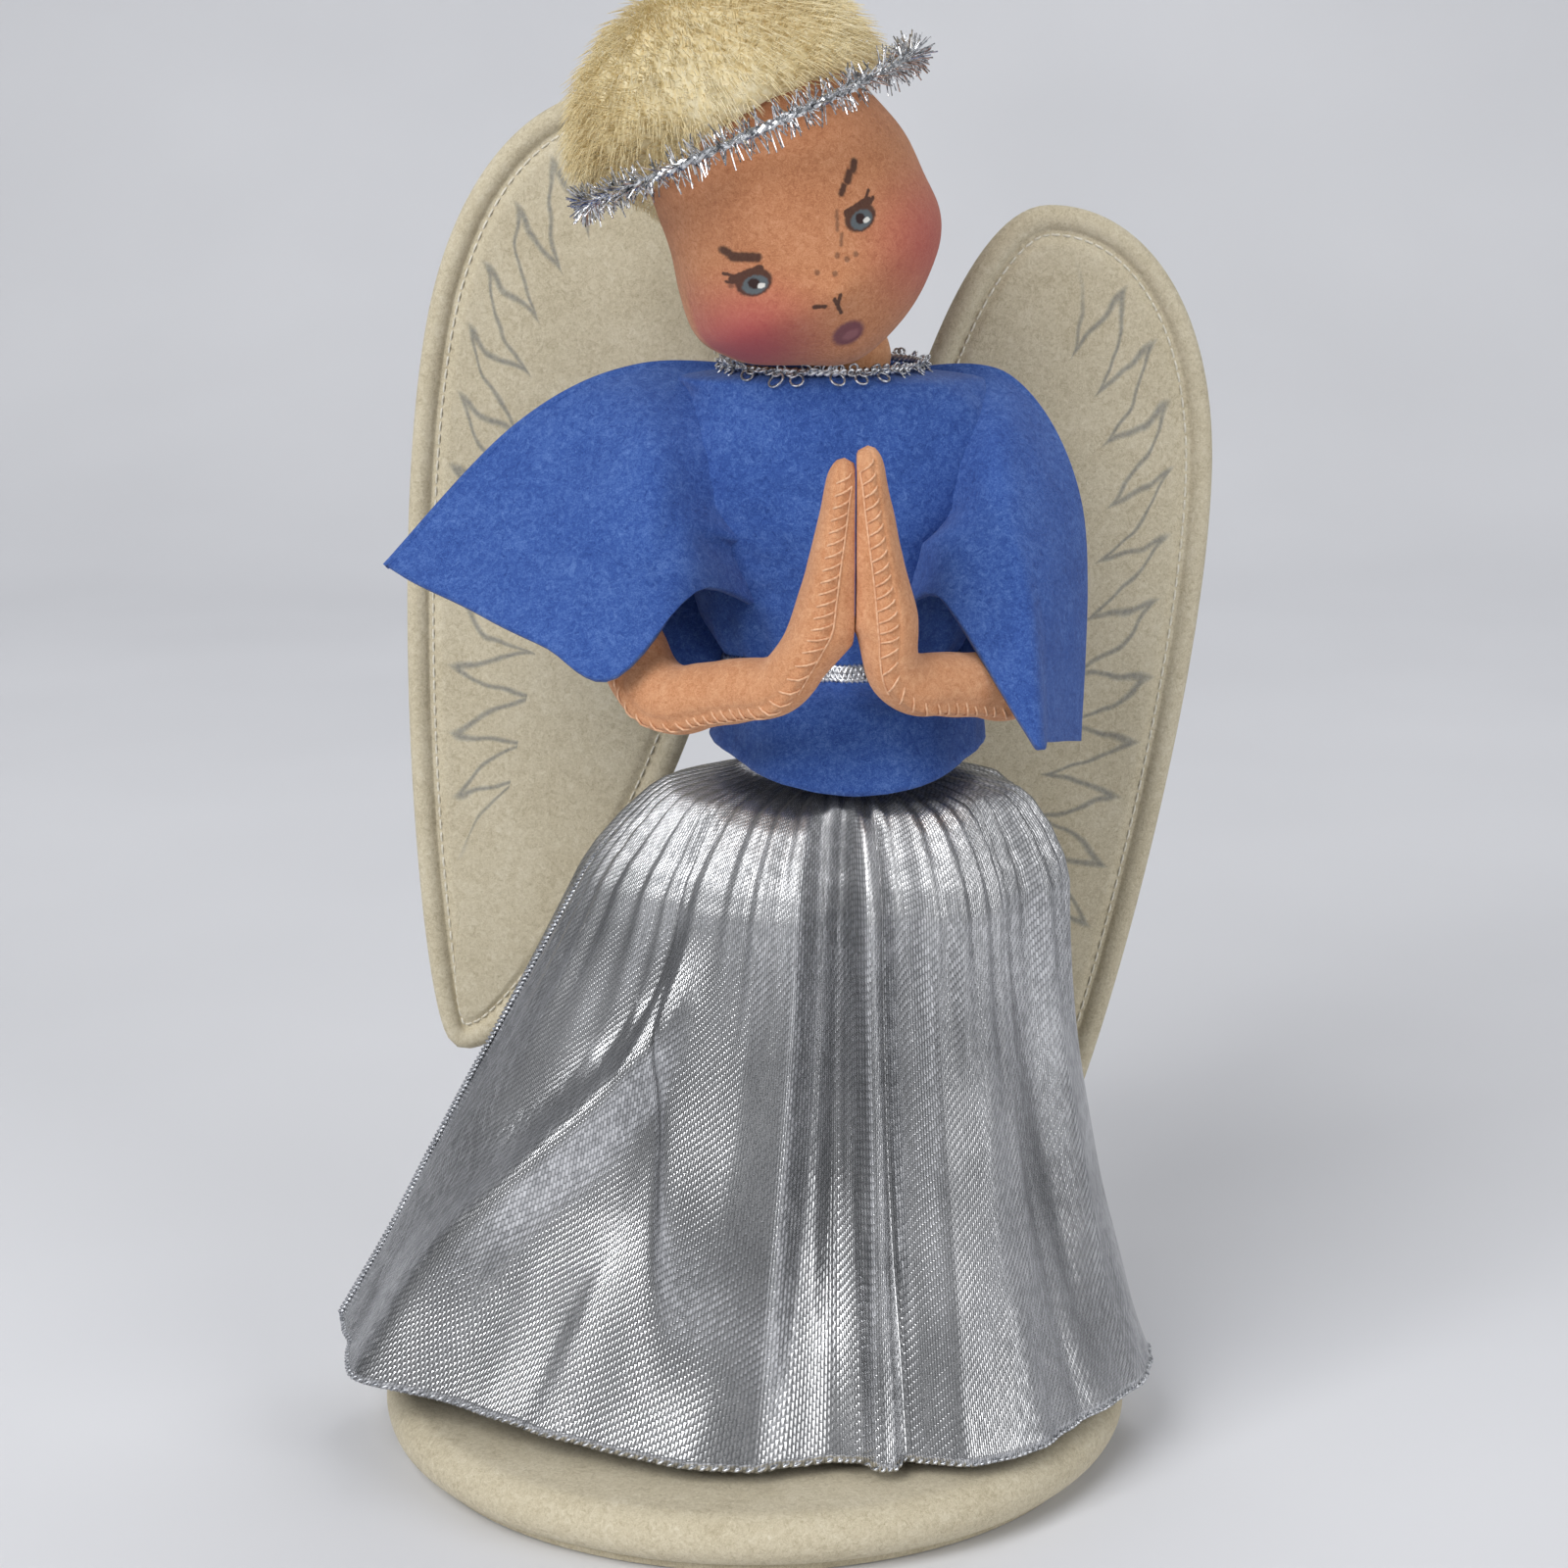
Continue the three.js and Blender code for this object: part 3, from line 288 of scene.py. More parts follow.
class Paint:
    def __init__(self, name, constants):
        self.material = bpy.data.materials.new(name)
        self.material.use_nodes = True
        self.tree = self.material.node_tree
        self.shader = self.tree.nodes["Principled BSDF"]
        for key, value in constants.items():
            self.shader.inputs[key].default_value = value

    def node(self, kind, settings=None, values=None, out=0):
        made = self.tree.nodes.new(kind)
        for key, value in (settings or {}).items():
            if key == "stops":
                while len(made.color_ramp.elements) < len(value):
                    made.color_ramp.elements.new(1)
                for stop, (at, colour) in zip(made.color_ramp.elements, value):
                    stop.position = at
                    stop.color = colour
            else:
                setattr(made, key, value)
        for key, value in (values or {}).items():
            if isinstance(value, Wire):
                self.tree.links.new(value.socket, made.inputs[key])
            else:
                made.inputs[key].default_value = value
        return Wire(self, made.outputs[out])

    def feed(self, name, wire):
        self.tree.links.new(wire.socket, self.shader.inputs[name])

    def spots(self, kind="Object"):
        return self.node("ShaderNodeTexCoord", out=kind)

    def local(self, place):  # millimetres in a piece's own frame
        at, spin, _ = place.decompose()
        return self.node("ShaderNodeMapping", {"vector_type": "TEXTURE"},
                         {"Vector": self.spots(), "Location": at * unit, "Rotation": spin.to_euler(),
                          "Scale": (unit, unit, unit)})

    def axes(self, vector):
        return [self.node("ShaderNodeSeparateXYZ", None, {0: vector}, axis) for axis in "XYZ"]

    def grain(self, spot, scale, detail=2.0, rough=0.5, twist=0.0):
        return self.node("ShaderNodeTexNoise", None, {"Vector": spot, "Scale": scale, "Detail": detail,
                                                      "Roughness": rough, "Distortion": twist})

    def fade(self, value, near, far):  # 1 up to near, 0 from far on
        return self.node("ShaderNodeMapRange", {"interpolation_type": "SMOOTHSTEP"},
                         {"Value": value, "From Min": near, "From Max": far, "To Min": 1.0, "To Max": 0.0})

    def ramp(self, value, *stops):
        return self.node("ShaderNodeValToRGB", {"stops": stops}, {0: value})

    def twoTone(self, value, dark, light, low=0.3, high=0.7):
        return self.ramp(value, (low, tint(dark)), (high, tint(light)))

    def shades(self, value, facts, *stops):  # dark, mid and light at these stops
        tones = [tint(facts[key]) for key in ("dark", "mid", "light")]
        return self.ramp(value, *zip(stops, tones))

    def mix(self, part, first, second):
        return self.node("ShaderNodeMix", {"data_type": "RGBA", "blend_type": "MIX", "clamp_factor": True},
                         {0: part, 6: first, 7: second}, 2)

    def raised(self, height, depth, strength=1.0):
        self.feed("Normal", self.node("ShaderNodeBump", None,
                                      {"Height": height, "Distance": depth * unit, "Strength": strength}))


def tint(code):  # a colour as a screen shows it
    parts = [int(code[i:i + 2], 16) / 255 for i in (0, 2, 4)]
    return (*(c / 12.92 if c < 0.04045 else ((c + 0.055) / 1.055) ** 2.4 for c in parts), 1.0)


feltFacts = {
    "cream": {"dark": "aea288", "mid": "cfc4a9", "light": "e2dac5", "sheen": 0.12},
    "skin": {"dark": "b87a52", "mid": "d3986f", "light": "e6b48d", "sheen": 0.15},
    "blue": {"dark": "253f80", "mid": "3b5ca4", "light": "6384c2", "sheen": 0.15},
    "body": {"dark": "b9a68a", "mid": "d2c1a6", "light": "dfd2bd", "sheen": 0.1},
}


def feltColour(paint, facts, spot):  # clouds, matted fibres and pale loose hairs
    cloud = paint.grain(spot, 90, 3)
    fibre = paint.grain(spot, 800, 4, 0.65, 1.2)
    hairs = paint.grain(spot, 2500, 3, 0.7, 2.5)
    tone = cloud * 0.13 + fibre * 0.37 + hairs * 0.5
    return paint.shades(tone, facts, 0.37, 0.5, 0.64), fibre * 0.55 + hairs * 0.45


def feltBase(name, sheen):
    return Paint(name, {"Roughness": 0.95, "Specular IOR Level": 0.15, "Sheen Weight": sheen,
                        "Sheen Roughness": 0.45})


def feltPaint(name, facts):
    paint = feltBase(name, facts["sheen"])
    colour, height = feltColour(paint, facts, paint.spots())
    paint.feed("Base Color", colour)
    paint.raised(height, 0.55, 0.55)
    return paint


creamFelt, skinFelt, blueFelt, bodyFelt = (feltPaint(key + "Felt", facts)
                                           for key, facts in feltFacts.items())


def threadPaint(name, dark, light):
    paint = Paint(name, {"Roughness": 0.7, "Specular IOR Level": 0.3})
    spot = paint.spots()
    paint.feed("Base Color", paint.twoTone(paint.grain(spot, 1400, 2), dark, light))
    paint.raised(paint.grain(spot, 4200, 1), 0.15, 0.5)
    return paint


seamThread = threadPaint("seamThread", "d39c76", "ecc29e")
creamThread = threadPaint("creamThread", "cfc8b4", "ebe7da")


def silverPaint(name, rough, dark, light, scale):
    paint = Paint(name, {"Metallic": 0.9})
    spot = paint.spots()
    glint = paint.grain(spot, scale, 2, 0.6)
    paint.feed("Base Color", paint.twoTone(glint, dark, light, 0.35, 0.62))
    paint.feed("Roughness", glint * 0.3 + rough)
    paint.raised(paint.grain(spot, scale * 2, 2), 0.12, 0.4)
    return paint


silverThread = silverPaint("silverThread", 0.22, "8f9298", "e4e6ea", 1500)
tinselFoil = silverPaint("tinselFoil", 0.05, "787b80", "f1f2f4", 900)
wireSteel = silverPaint("wireSteel", 0.3, "6f7276", "a5a8ad", 500)


def boardPaint():
    paint = Paint("pulpBoard", {"Roughness": 0.9})
    spot = paint.spots()
    fibre = paint.grain(spot, 400, 4, 0.7)
    paint.feed("Base Color", paint.twoTone(fibre, "8a6f4d", "b2966c"))
    paint.raised(fibre, 0.3, 0.4)
    return paint


pulpBoard = boardPaint()

# the weave in millimetres, the hips' height in metres
lameFacts = {"warp": 0.5, "float": 1.3, "step": 0.3, "dark": "717274", "mid": "b2b3b5", "light": "f0f0f2",
             "rough": 0.27, "hipLow": 0.1, "hipSpan": 0.02, "hipRough": 0.18}


def lamePaint():  # short flat metal floats, stepped from column to column so that they run as a twill
    paint = Paint("lameWeave", {"Metallic": 0.95})
    across, down, _ = paint.axes(paint.spots("UV"))
    warps = across / lameFacts["warp"]
    floats = down / lameFacts["float"] + warps.floor() * lameFacts["step"]
    cell = paint.node("ShaderNodeCombineXYZ", None, {"X": floats.floor(), "Y": warps.floor()})
    lot = paint.node("ShaderNodeTexWhiteNoise", {"noise_dimensions": "2D"}, {"Vector": cell})
    crown = (warps.rest() * math.pi).wave() * (floats.rest() * math.pi).wave() ** 0.5
    cloud = paint.grain(paint.spots(), 45, 2)
    tone = lot * 0.22 + crown * 0.4 + cloud * 0.45
    paint.feed("Base Color", paint.shades(tone, lameFacts, 0.2, 0.52, 0.85))
    _, _, height = paint.axes(paint.spots())
    # the gathers at the hips scatter more light
    hips = ((height - lameFacts["hipLow"]) / lameFacts["hipSpan"]).most(0).least(1)
    paint.feed("Roughness", lameFacts["rough"] - lot * 0.1 + hips * lameFacts["hipRough"])
    paint.raised(crown + (warps.rest() - 0.5) * (lot - 0.5) * 0.9, 0.14, 0.38)
    return paint


lameWeave = lamePaint()
print("paints mixed")

# camera, floor and light

cameraFacts = {"place": (5.8, -600, 270), "aim": (5.8, 0, 128), "lens": 75.06}


def addAimed(name, data, facts):  # set in its place, looking at its aim
    thing = bpy.data.objects.new(name, data)
    place = Vector(facts["place"])
    thing.location = place * unit
    thing.rotation_euler = (Vector(facts["aim"]) - place).to_track_quat("-Z", "Y").to_euler()
    scene.collection.objects.link(thing)
    return thing


def setCamera():
    data = bpy.data.cameras.new("camera")
    data.lens = cameraFacts["lens"]
    data.sensor_width = 36
    data.clip_start = 0.01
    scene.camera = addAimed("camera", data, cameraFacts)


setCamera()

lightFacts = {
    "key": {"place": (-900, -1300, 1450), "aim": (0, 0, 130), "size": 1400, "power": 28},
    "fill": {"place": (1300, -1100, 800), "aim": (0, 0, 120), "size": 1200, "power": 10},
    "side": {"place": (-1000, -940, 640), "aim": (-40, -30, 70), "size": 260, "power": 2.6},
    "back": {"place": (300, 850, 1600), "aim": (0, 0, 100), "size": 900, "power": 6},
    "world": {"strength": 0.22, "colour": (0.95, 0.97, 1.0)},
}


def setLight():
    for name in ("key", "fill", "side", "back"):
        facts = lightFacts[name]
        data = bpy.data.lights.new(name, "AREA")
        data.shape = "DISK"
        data.size = facts["size"] * unit
        data.energy = facts["power"]
        addAimed(name, data, facts)
    world = scene.world or bpy.data.worlds.new("studio")
    scene.world = world
    world.use_nodes = True
    sky = world.node_tree.nodes["Background"]
    sky.inputs["Color"].default_value = (*lightFacts["world"]["colour"], 1)
    sky.inputs["Strength"].default_value = lightFacts["world"]["strength"]


setLight()
scene.view_settings.view_transform = "Standard"

stageFacts = {"half": 3.0, "near": -2.0, "far": 0.9, "curve": 0.6, "high": 2.2, "below": -0.0002,
              "dark": "dcdde1", "light": "e2e3e7"}


def setFloor():  # one pale sweep, floor into backdrop
    facts = stageFacts
    paint = Paint("paleSweep", {"Roughness": 0.85})
    paint.feed("Base Color", paint.twoTone(paint.grain(paint.spots(), 5, 2), facts["dark"], facts["light"]))
    bm = bmesh.new()
    ends = [bm.verts.new((x, facts["near"], facts["below"])) for x in (-facts["half"], facts["half"])]
    edge = [bm.edges.new(ends)]

    def drawOut(edges, move):
        made = bmesh.ops.extrude_edge_only(bm, edges=edges)["geom"]
        bmesh.ops.translate(bm, verts=onlyKind(made, bmesh.types.BMVert), vec=move)
        fresh = onlyKind(made, bmesh.types.BMEdge)
        return [edge for edge in fresh if all(vert in made for vert in edge.verts)]

    edge = drawOut(edge, (0, facts["far"] - facts["near"], 0))
    turned = bmesh.ops.spin(bm, geom=edge, cent=(0, facts["far"], facts["curve"]), axis=(1, 0, 0),
                            angle=math.pi / 2, steps=24)["geom_last"]
    drawOut(onlyKind(turned, bmesh.types.BMEdge), (0, 0, facts["high"]))
    meshPiece("sweep", bm, paint)


setFloor()
print("camera, light and floor set")

# base

baseFacts = {"radius": 72, "top": 11.7, "lipLow": 1.9, "lip": 10, "soft": 0.5, "softFrom": 40,
             "softScale": 0.045, "thick": 1.4, "bevel": 0.4}
rimHalf = (baseFacts["top"] - baseFacts["lipLow"]) / 2
rimX = baseFacts["radius"] - rimHalf


def basePoint(u, v):
    spin = u * circle
    flatEnd, rimEnd = 0.5, 0.88
    if v < flatEnd:
        reach, height = rimX * (v / flatEnd), baseFacts["top"]
    elif v < rimEnd:
        lean = math.pi * (0.5 - (v - flatEnd) / (rimEnd - flatEnd))
        reach = rimX + rimHalf * math.cos(lean)
        height = (baseFacts["top"] + baseFacts["lipLow"]) / 2 + rimHalf * math.sin(lean)
    else:
        reach, height = rimX - baseFacts["lip"] * (v - rimEnd) / (1 - rimEnd), baseFacts["lipLow"]
    point = Vector((reach * math.cos(spin), reach * math.sin(spin), height))
    edge = smoothStep(reach, baseFacts["softFrom"], rimX)
    uneven = bump3(point, baseFacts["softScale"]) * baseFacts["soft"] * edge
    if height > baseFacts["lipLow"] + 0.05:
        point.z += 0.5 * uneven * smoothStep(height, baseFacts["lipLow"], baseFacts["lipLow"] + 3)
        point.xy *= 1 + uneven / baseFacts["radius"]
    return point


def makeBase():
    bm = bmesh.new()
    wrapGrid(bm, 120, 60, basePoint)
    cover = roundOff(thicken(meshPiece("baseCover", bm, creamFelt), baseFacts["thick"]))
    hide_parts("base_cover")
    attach(cover, "body")
    bm = bmesh.new()
    bmesh.ops.create_circle(bm, cap_ends=True, segments=96, radius=rimX * unit)
    made = bmesh.ops.extrude_face_region(bm, geom=bm.faces[:])["geom"]
    bmesh.ops.translate(bm, verts=onlyKind(made, bmesh.types.BMVert), vec=(0, 0, felt * unit))
    bmesh.ops.recalc_face_normals(bm, faces=bm.faces)
    edges = [edge for edge in bm.edges if abs(edge.verts[0].co.z - edge.verts[1].co.z) < 1e-7]
    bmesh.ops.bevel(bm, geom=edges, offset=baseFacts["bevel"] * unit, segments=2, profile=0.5, affect="EDGES",
                    material=-1)
    underlay = meshPiece("baseUnderlay", bm, creamFelt, smooth=False)
    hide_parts("base_underlay")
    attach(underlay, "body")


makeBase()
print("base made")

# stuffed body under the clothes

stuffed = {  # paint, slot, voxel, rounds of wear, fill, body
    "torso": (bodyFelt, "felt_body", 1.1, 3, 0.8, "body"),
    "right_leg": (skinFelt, "felt_skin", 0.9, 3, 0.8, "body"),
    "left_leg": (skinFelt, "felt_skin", 0.9, 3, 0.8, "body"),
    "neck": (skinFelt, "felt_skin", 0.7, 2, 0.8, "neck"),
    "wing_pad": (creamFelt, "felt_cream", 0.8, 6, 0.7, "body"),
}


def makeStuffed():
    for node, (paint, slot, voxel, rounds, fill, body) in stuffed.items():
        words = node.split("_")
        name = words[0] + "".join(word.capitalize() for word in words[1:]) + "Felt"
        piece = softCopy(name, node, paint, voxel, rounds)
        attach(piece, body)
    for name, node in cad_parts.items():
        if name.endswith("_wire") or name == "base_board":
            node.data.materials.clear()
            node.data.materials.append((pulpBoard if name == "base_board" else wireSteel).material)


makeStuffed()
print("stuffed body made")

# torso line, which the clothes follow

torsoFacts = {"waist": 154.7, "shoulder": 194.7, "depth": 0.88}
torsoProfile = [(0, 111.7), (12.375, 115.95), (16.5, 128.7), (15.5, 154.7), (18.5, 177.7), (19, 194.7),
                (11.78, 201.45), (0, 203.7)]


def torsoPoint(angle, along, grow):
    at, run = profileAt(torsoProfile, along), profileRun(torsoProfile, along)
    wide = max(at.x + run.y * grow, 0)
    deep = max(at.x * torsoFacts["depth"] + run.y * grow, 0)
    return Vector((figureX + wide * math.cos(angle), deep * math.sin(angle), at.y - run.x * grow))


@lru_cache(None)
def alongAt(height):
    low, high = 0.0, 1.0
    for _ in range(30):
        middle = (low + high) / 2
        if profileAt(torsoProfile, middle).y < height:
            low = middle
        else:
            high = middle
    return low


# tunic

tunicFacts = {"ease": 0.8, "hem": 131.6, "curve": 5, "hemEase": 7.4, "bandTop": 145.7, "beltHalf": 2,
              "neck": 12.5, "shoulderWiden": 10, "sideWiden": 6.5, "cinch": 1.3, "tied": 152.3, "crease": 0.8,
              "stand": 3.4, "hemX": 2.6, "neckX": -3, "neckWide": 3, "neckDeep": 1.6, "thick": 1.5,
              "flare": 0.16, "tuck": 0.45, "tucks": 17, "lift": (166, 198), "boxy": ((138, 162), (182, 198)),
              "puff": ((156, 164), (176, 192)), "cut": (0.15, 0.076)}
neckAlong = alongAt(torsoFacts["shoulder"])
while neckAlong < 0.995 and profileAt(torsoProfile, neckAlong).x > tunicFacts["neck"]:
    neckAlong += 0.002


def tunicLow(angle):  # the hem dips at the front
    sides, back = abs(math.cos(angle)), max(math.sin(angle), 0)
    return alongAt(tunicFacts["hem"] + tunicFacts["curve"] * (1.1 * sides ** 1.5 + 0.4 * back))


def tunicPoint(angle, part, extra):
    along = between(tunicLow(angle), neckAlong, part)
    height = profileAt(torsoProfile, along).y
    band, belt = tunicFacts["bandTop"], torsoFacts["waist"] - tunicFacts["beltHalf"] - gap
    fall = 1 - smoothStep(height, band + gap, belt)
    flare = max(band - height, 0) * tunicFacts["flare"] * (1 + 0.5 * math.cos(6 * angle))
    fall *= between(0.72, 1, max(-math.sin(angle), 0))
    point = torsoPoint(angle, along, tunicFacts["ease"] + tunicFacts["hemEase"] * fall + flare + extra)
    point.x += tunicFacts["hemX"] * fall
    return point


def tunicEase(point, angle, loose):  # the felt stands off at the sides and shoulders, drawn in by the belt
    side = math.cos(angle)
    lift = smoothStep(point.z, *tunicFacts["lift"]) * loose
    boxy = hump(point.z, *tunicFacts["boxy"])
    wide = tunicFacts["shoulderWiden"] * lift + tunicFacts["sideWiden"] * boxy
    puff = hump(point.z, *tunicFacts["puff"])
    cinch = tunicFacts["cinch"] * bell(point.z, tunicFacts["tied"], 3.2)
    tuck = math.sin(tunicFacts["tucks"] * angle + 2 * math.sin(3 * angle))
    tuck *= bell(point.z, tunicFacts["tied"], 9)
    wrinkle = bump3((point.x * 1.2, point.y, point.z * 0.5), 0.11) + 0.5 * bump3(point, 0.3)
    swell = puff - cinch + tunicFacts["tuck"] * tuck + tunicFacts["crease"] * wrinkle * loose
    point = point + outward(angle) * swell
    point.x += math.copysign(abs(side) ** 1.5, side) * wide
    return point


def neckOpen(angle, part):  # the neckline is cut wide and sits toward the right
    wide = tunicFacts["neckX"] + tunicFacts["neckWide"] * math.cos(angle)
    return Vector((wide, tunicFacts["neckDeep"] * math.sin(angle), 0)) * smoothStep(part, 0.8, 0.97)


def tunicOuter(u, v):
    angle = u * circle
    point = tunicEase(tunicPoint(angle, v, felt), angle, 1 - smoothStep(v, 0.9, 1.0))
    point.z += tunicFacts["stand"] * smoothStep(v, 0.62, 0.95)
    return point + neckOpen(angle, v)


def makeTunic():
    bm = bmesh.new()
    wrapGrid(bm, 120, 66, tunicOuter)
    tunic = thicken(meshPiece("tunicBody", bm, blueFelt), tunicFacts["thick"], even=False)
    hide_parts("tunic")
    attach(tunic, "body")


makeTunic()
print("tunic made")

# arms and sleeves

armFacts = {"out": 7, "drop": 42, "forward": 28, "rise": 4, "reach": 18, "hand": 40, "lean": 6.5,
            "shoulderX": 25.8, "wristX": 4.9, "elbowBend": 10, "wristBend": 9, "elbowPush": 2.2,
            "wristPush": 1.6, "ridge": 0.4, "wireR": 0.9, "wireClear": 1.6, "pitch": 2.1, "threadR": 0.2,
            "reachAcross": 1.9, "slant": 0.9, "sag": 3, "bow": {-1: 16, 1: 0}, "palmShift": 2.0,
            "palmGap": 0.13, "tipRise": {-1: -0.5, 1: 1.6}, "uneven": 0.22, "steps": 240}


def armPlaces(side):
    shoulder = Vector((figureX + side * armFacts["shoulderX"], 0, torsoFacts["shoulder"]))
    elbow = shoulder + Vector((side * armFacts["out"], -armFacts["forward"], -armFacts["drop"]))
    wristX = figureX + side * (armFacts["wristX"] + armFacts["lean"] * 0.55)
    wrist = Vector((wristX, elbow.y - armFacts["reach"], elbow.z + armFacts["rise"]))
    tip = wrist + Vector((-side * armFacts["lean"], -2, armFacts["hand"]))
    return shoulder, elbow, wrist, tip


def cornered(path, corner, before, after, trim, push):  # a rounded bend, pushed a little outward
    into, away = (corner - before).normalized(), (after - corner).normalized()
    out = (into - away).normalized()
    first, last, peak = corner - into * trim, corner + away * trim, corner + out * push
    path += [arc(first, peak, last, k / 12) for k in range(13)]


class Arm:
    def __init__(self, side):
        self.side = side
        shoulder, elbow, wrist, tip = armPlaces(side)
        elbow = elbow - Vector((0, 0, armFacts["sag"] if side < 0 else 0))
        tip = tip + Vector((0, 0, armFacts["tipRise"][side]))
        bow = side * armFacts["bow"][side]
        bowed = shoulder.lerp(elbow, 0.5) + Vector((bow, 0, 0))
        rough = [shoulder, shoulder.lerp(bowed, 0.5) + Vector((bow * 0.2, 0, 0)), bowed]
        cornered(rough, elbow, bowed, wrist, armFacts["elbowBend"], armFacts["elbowPush"])
        cornered(rough, wrist, elbow, tip, armFacts["wristBend"], armFacts["wristPush"])
        rough += [wrist.lerp(tip, 0.5), tip]
        runs = runLengths(rough)
        self.length = runs[-1]
        steps = armFacts["steps"]
        self.points = [pointAlong(rough, runs, self.length * i / steps) for i in range(steps + 1)]
        self.elbowAt = self.nearest(elbow) / steps
        self.wristAt = self.nearest(wrist) / steps
        self.palmStart = between(self.wristAt, 1, 0.06)
        self.palmFull = between(self.wristAt, 1, 0.3)
        for i, point in enumerate(self.points):
            point.x += armFacts["palmShift"] * smoothStep(i / steps, self.wristAt, self.palmFull)
        self.runs = [(self.points[min(i + 2, steps)] - self.points[max(i - 2, 0)]).normalized()
                     for i in range(steps + 1)]
        self.thins = [None] * (steps + 1)  # the hand's flat way, carried back up the arm
        thin = Vector((1, 0, 0))
        for i in range(steps, -1, -1):
            thin = (thin - self.runs[i] * thin.dot(self.runs[i])).normalized()
            self.thins[i] = thin.copy()
        self.middle = between(self.elbowAt, self.wristAt, 0.5)
        # where along the arm, half its thin way, half its wide way
        self.sizes = [(0, 6.3, 6.3), (self.elbowAt * 0.5, 6.0, 6.0), (self.elbowAt, 6.4, 6.4),
                      (self.middle, 5.7, 5.7), (self.wristAt, 5.0, 5.8)]
        self.sizes += [(between(self.wristAt, 1, part), thinR, wideR) for part, thinR, wideR in (
            (0.25, 4.3, 6.8), (0.5, 3.2, 6.6), (0.8, 2.4, 5.0), (1, 2.2, 3.6))]

    def nearest(self, spot):
        return min(range(len(self.points)), key=lambda i: (self.points[i] - spot).length)

    def frameAt(self, v):
        place = clampTo(v) * (len(self.points) - 1)
        i = min(int(place), len(self.points) - 2)
        w = place - i
        at = self.points[i].lerp(self.points[i + 1], w)
        run = self.runs[i].lerp(self.runs[i + 1], w).normalized()
        thin = self.thins[i].lerp(self.thins[i + 1], w)
        thin = (thin - run * thin.dot(run)).normalized()
        return at, run, thin, run.cross(thin)

    def sizeAt(self, v):
        for (a, thinA, wideA), (b, thinB, wideB) in zip(self.sizes, self.sizes[1:]):
            if v <= b:
                part = smoothStep(v, a, b)
                return between(thinA, thinB, part), between(wideA, wideB, part)
        return self.sizes[-1][1:]

    def seamAngle(self, v):  # under the forearm, along the front edge of the hand
        _, _, thin, wide = self.frameAt(v)
        hand = smoothStep(v, between(self.middle, self.wristAt, 0.6), between(self.wristAt, 1, 0.2))
        aim = Vector((0, -0.8, -0.6)).lerp(Vector((-self.side * 0.1, -1, 0)), hand)
        return math.atan2(aim.dot(wide), aim.dot(thin))

    def skin(self, v, angle, lift=0.0):
        at, run, thin, wide = self.frameAt(v)
        thinR, wideR = self.sizeAt(v)
        close = 1.0
        for left, soft in (((1 - v) * self.length, 4.5), (v * self.length, 5)):  # the ends are rounded shut
            close *= math.sqrt(max(1 - (1 - clampTo(left / soft)) ** 2, 0))
        flatX = figureX + armFacts["palmShift"] * smoothStep(v, self.wristAt, self.palmFull)
        flatX += self.side * armFacts["palmGap"]
        if self.side * math.cos(angle) < 0:  # the palm's side fills out to meet the other hand
            palmR = self.side * (at.x - flatX) + 1.4
            thinR = between(thinR, max(thinR, palmR), smoothStep(v, self.palmStart, self.palmFull))
        off = (angle - self.seamAngle(v) + math.pi) % circle - math.pi
        ridge = armFacts["ridge"] * (bell(off * wideR, 0, 0.7) - 0.6 * bell(abs(off) * wideR, 1.9, 0.6))
        toThin, toWide = thin * math.cos(angle), wide * math.sin(angle)
        uneven = armFacts["uneven"] * bump3(at + toThin * 5 + toWide * 5, 0.16)
        grow = (ridge + uneven) * close + lift
        point = at + toThin * (thinR * close + grow) + toWide * (wideR * close + grow)
        flatX -= self.side * min(lift, 0.1)
        if v > self.middle and self.side * (point.x - flatX) < 0:  # palms meet on a plane
            point.x = flatX
        return point

    def stitches(self, first, last, reach):  # slanting overcast bars
        paths = []
        count = int((last - first) * self.length / armFacts["pitch"])
        slant = armFacts["slant"] / self.length
        for i in range(count):
            v = between(first, last, (i + 0.5) / count)
            middle = self.seamAngle(v)
            wide = reach / max(self.sizeAt(v)[1], 3)
            paths.append([self.skin(v + slant * k, middle + wide * k, lift)
                          for k, lift in ((-1, -0.12), (-0.6, 0.2), (0, 0.28), (0.6, 0.2), (1, -0.12))])
        return paths

    def edgeLine(self):  # the thread that runs beside the bars, on the palm's side
        path = []
        for i in range(120):
            v = between(between(self.wristAt, 1, 0.02), 0.97, i / 119)
            _, _, thin, wide = self.frameAt(v)
            palm = math.atan2(-self.side * wide.x, -self.side * thin.x)
            middle = self.seamAngle(v)
            turn = (palm - middle + math.pi) % circle - math.pi
            step = math.copysign(armFacts["reachAcross"] / max(self.sizeAt(v)[1], 3), turn)
            path.append(self.skin(v, middle + step, 0.12))
        return path


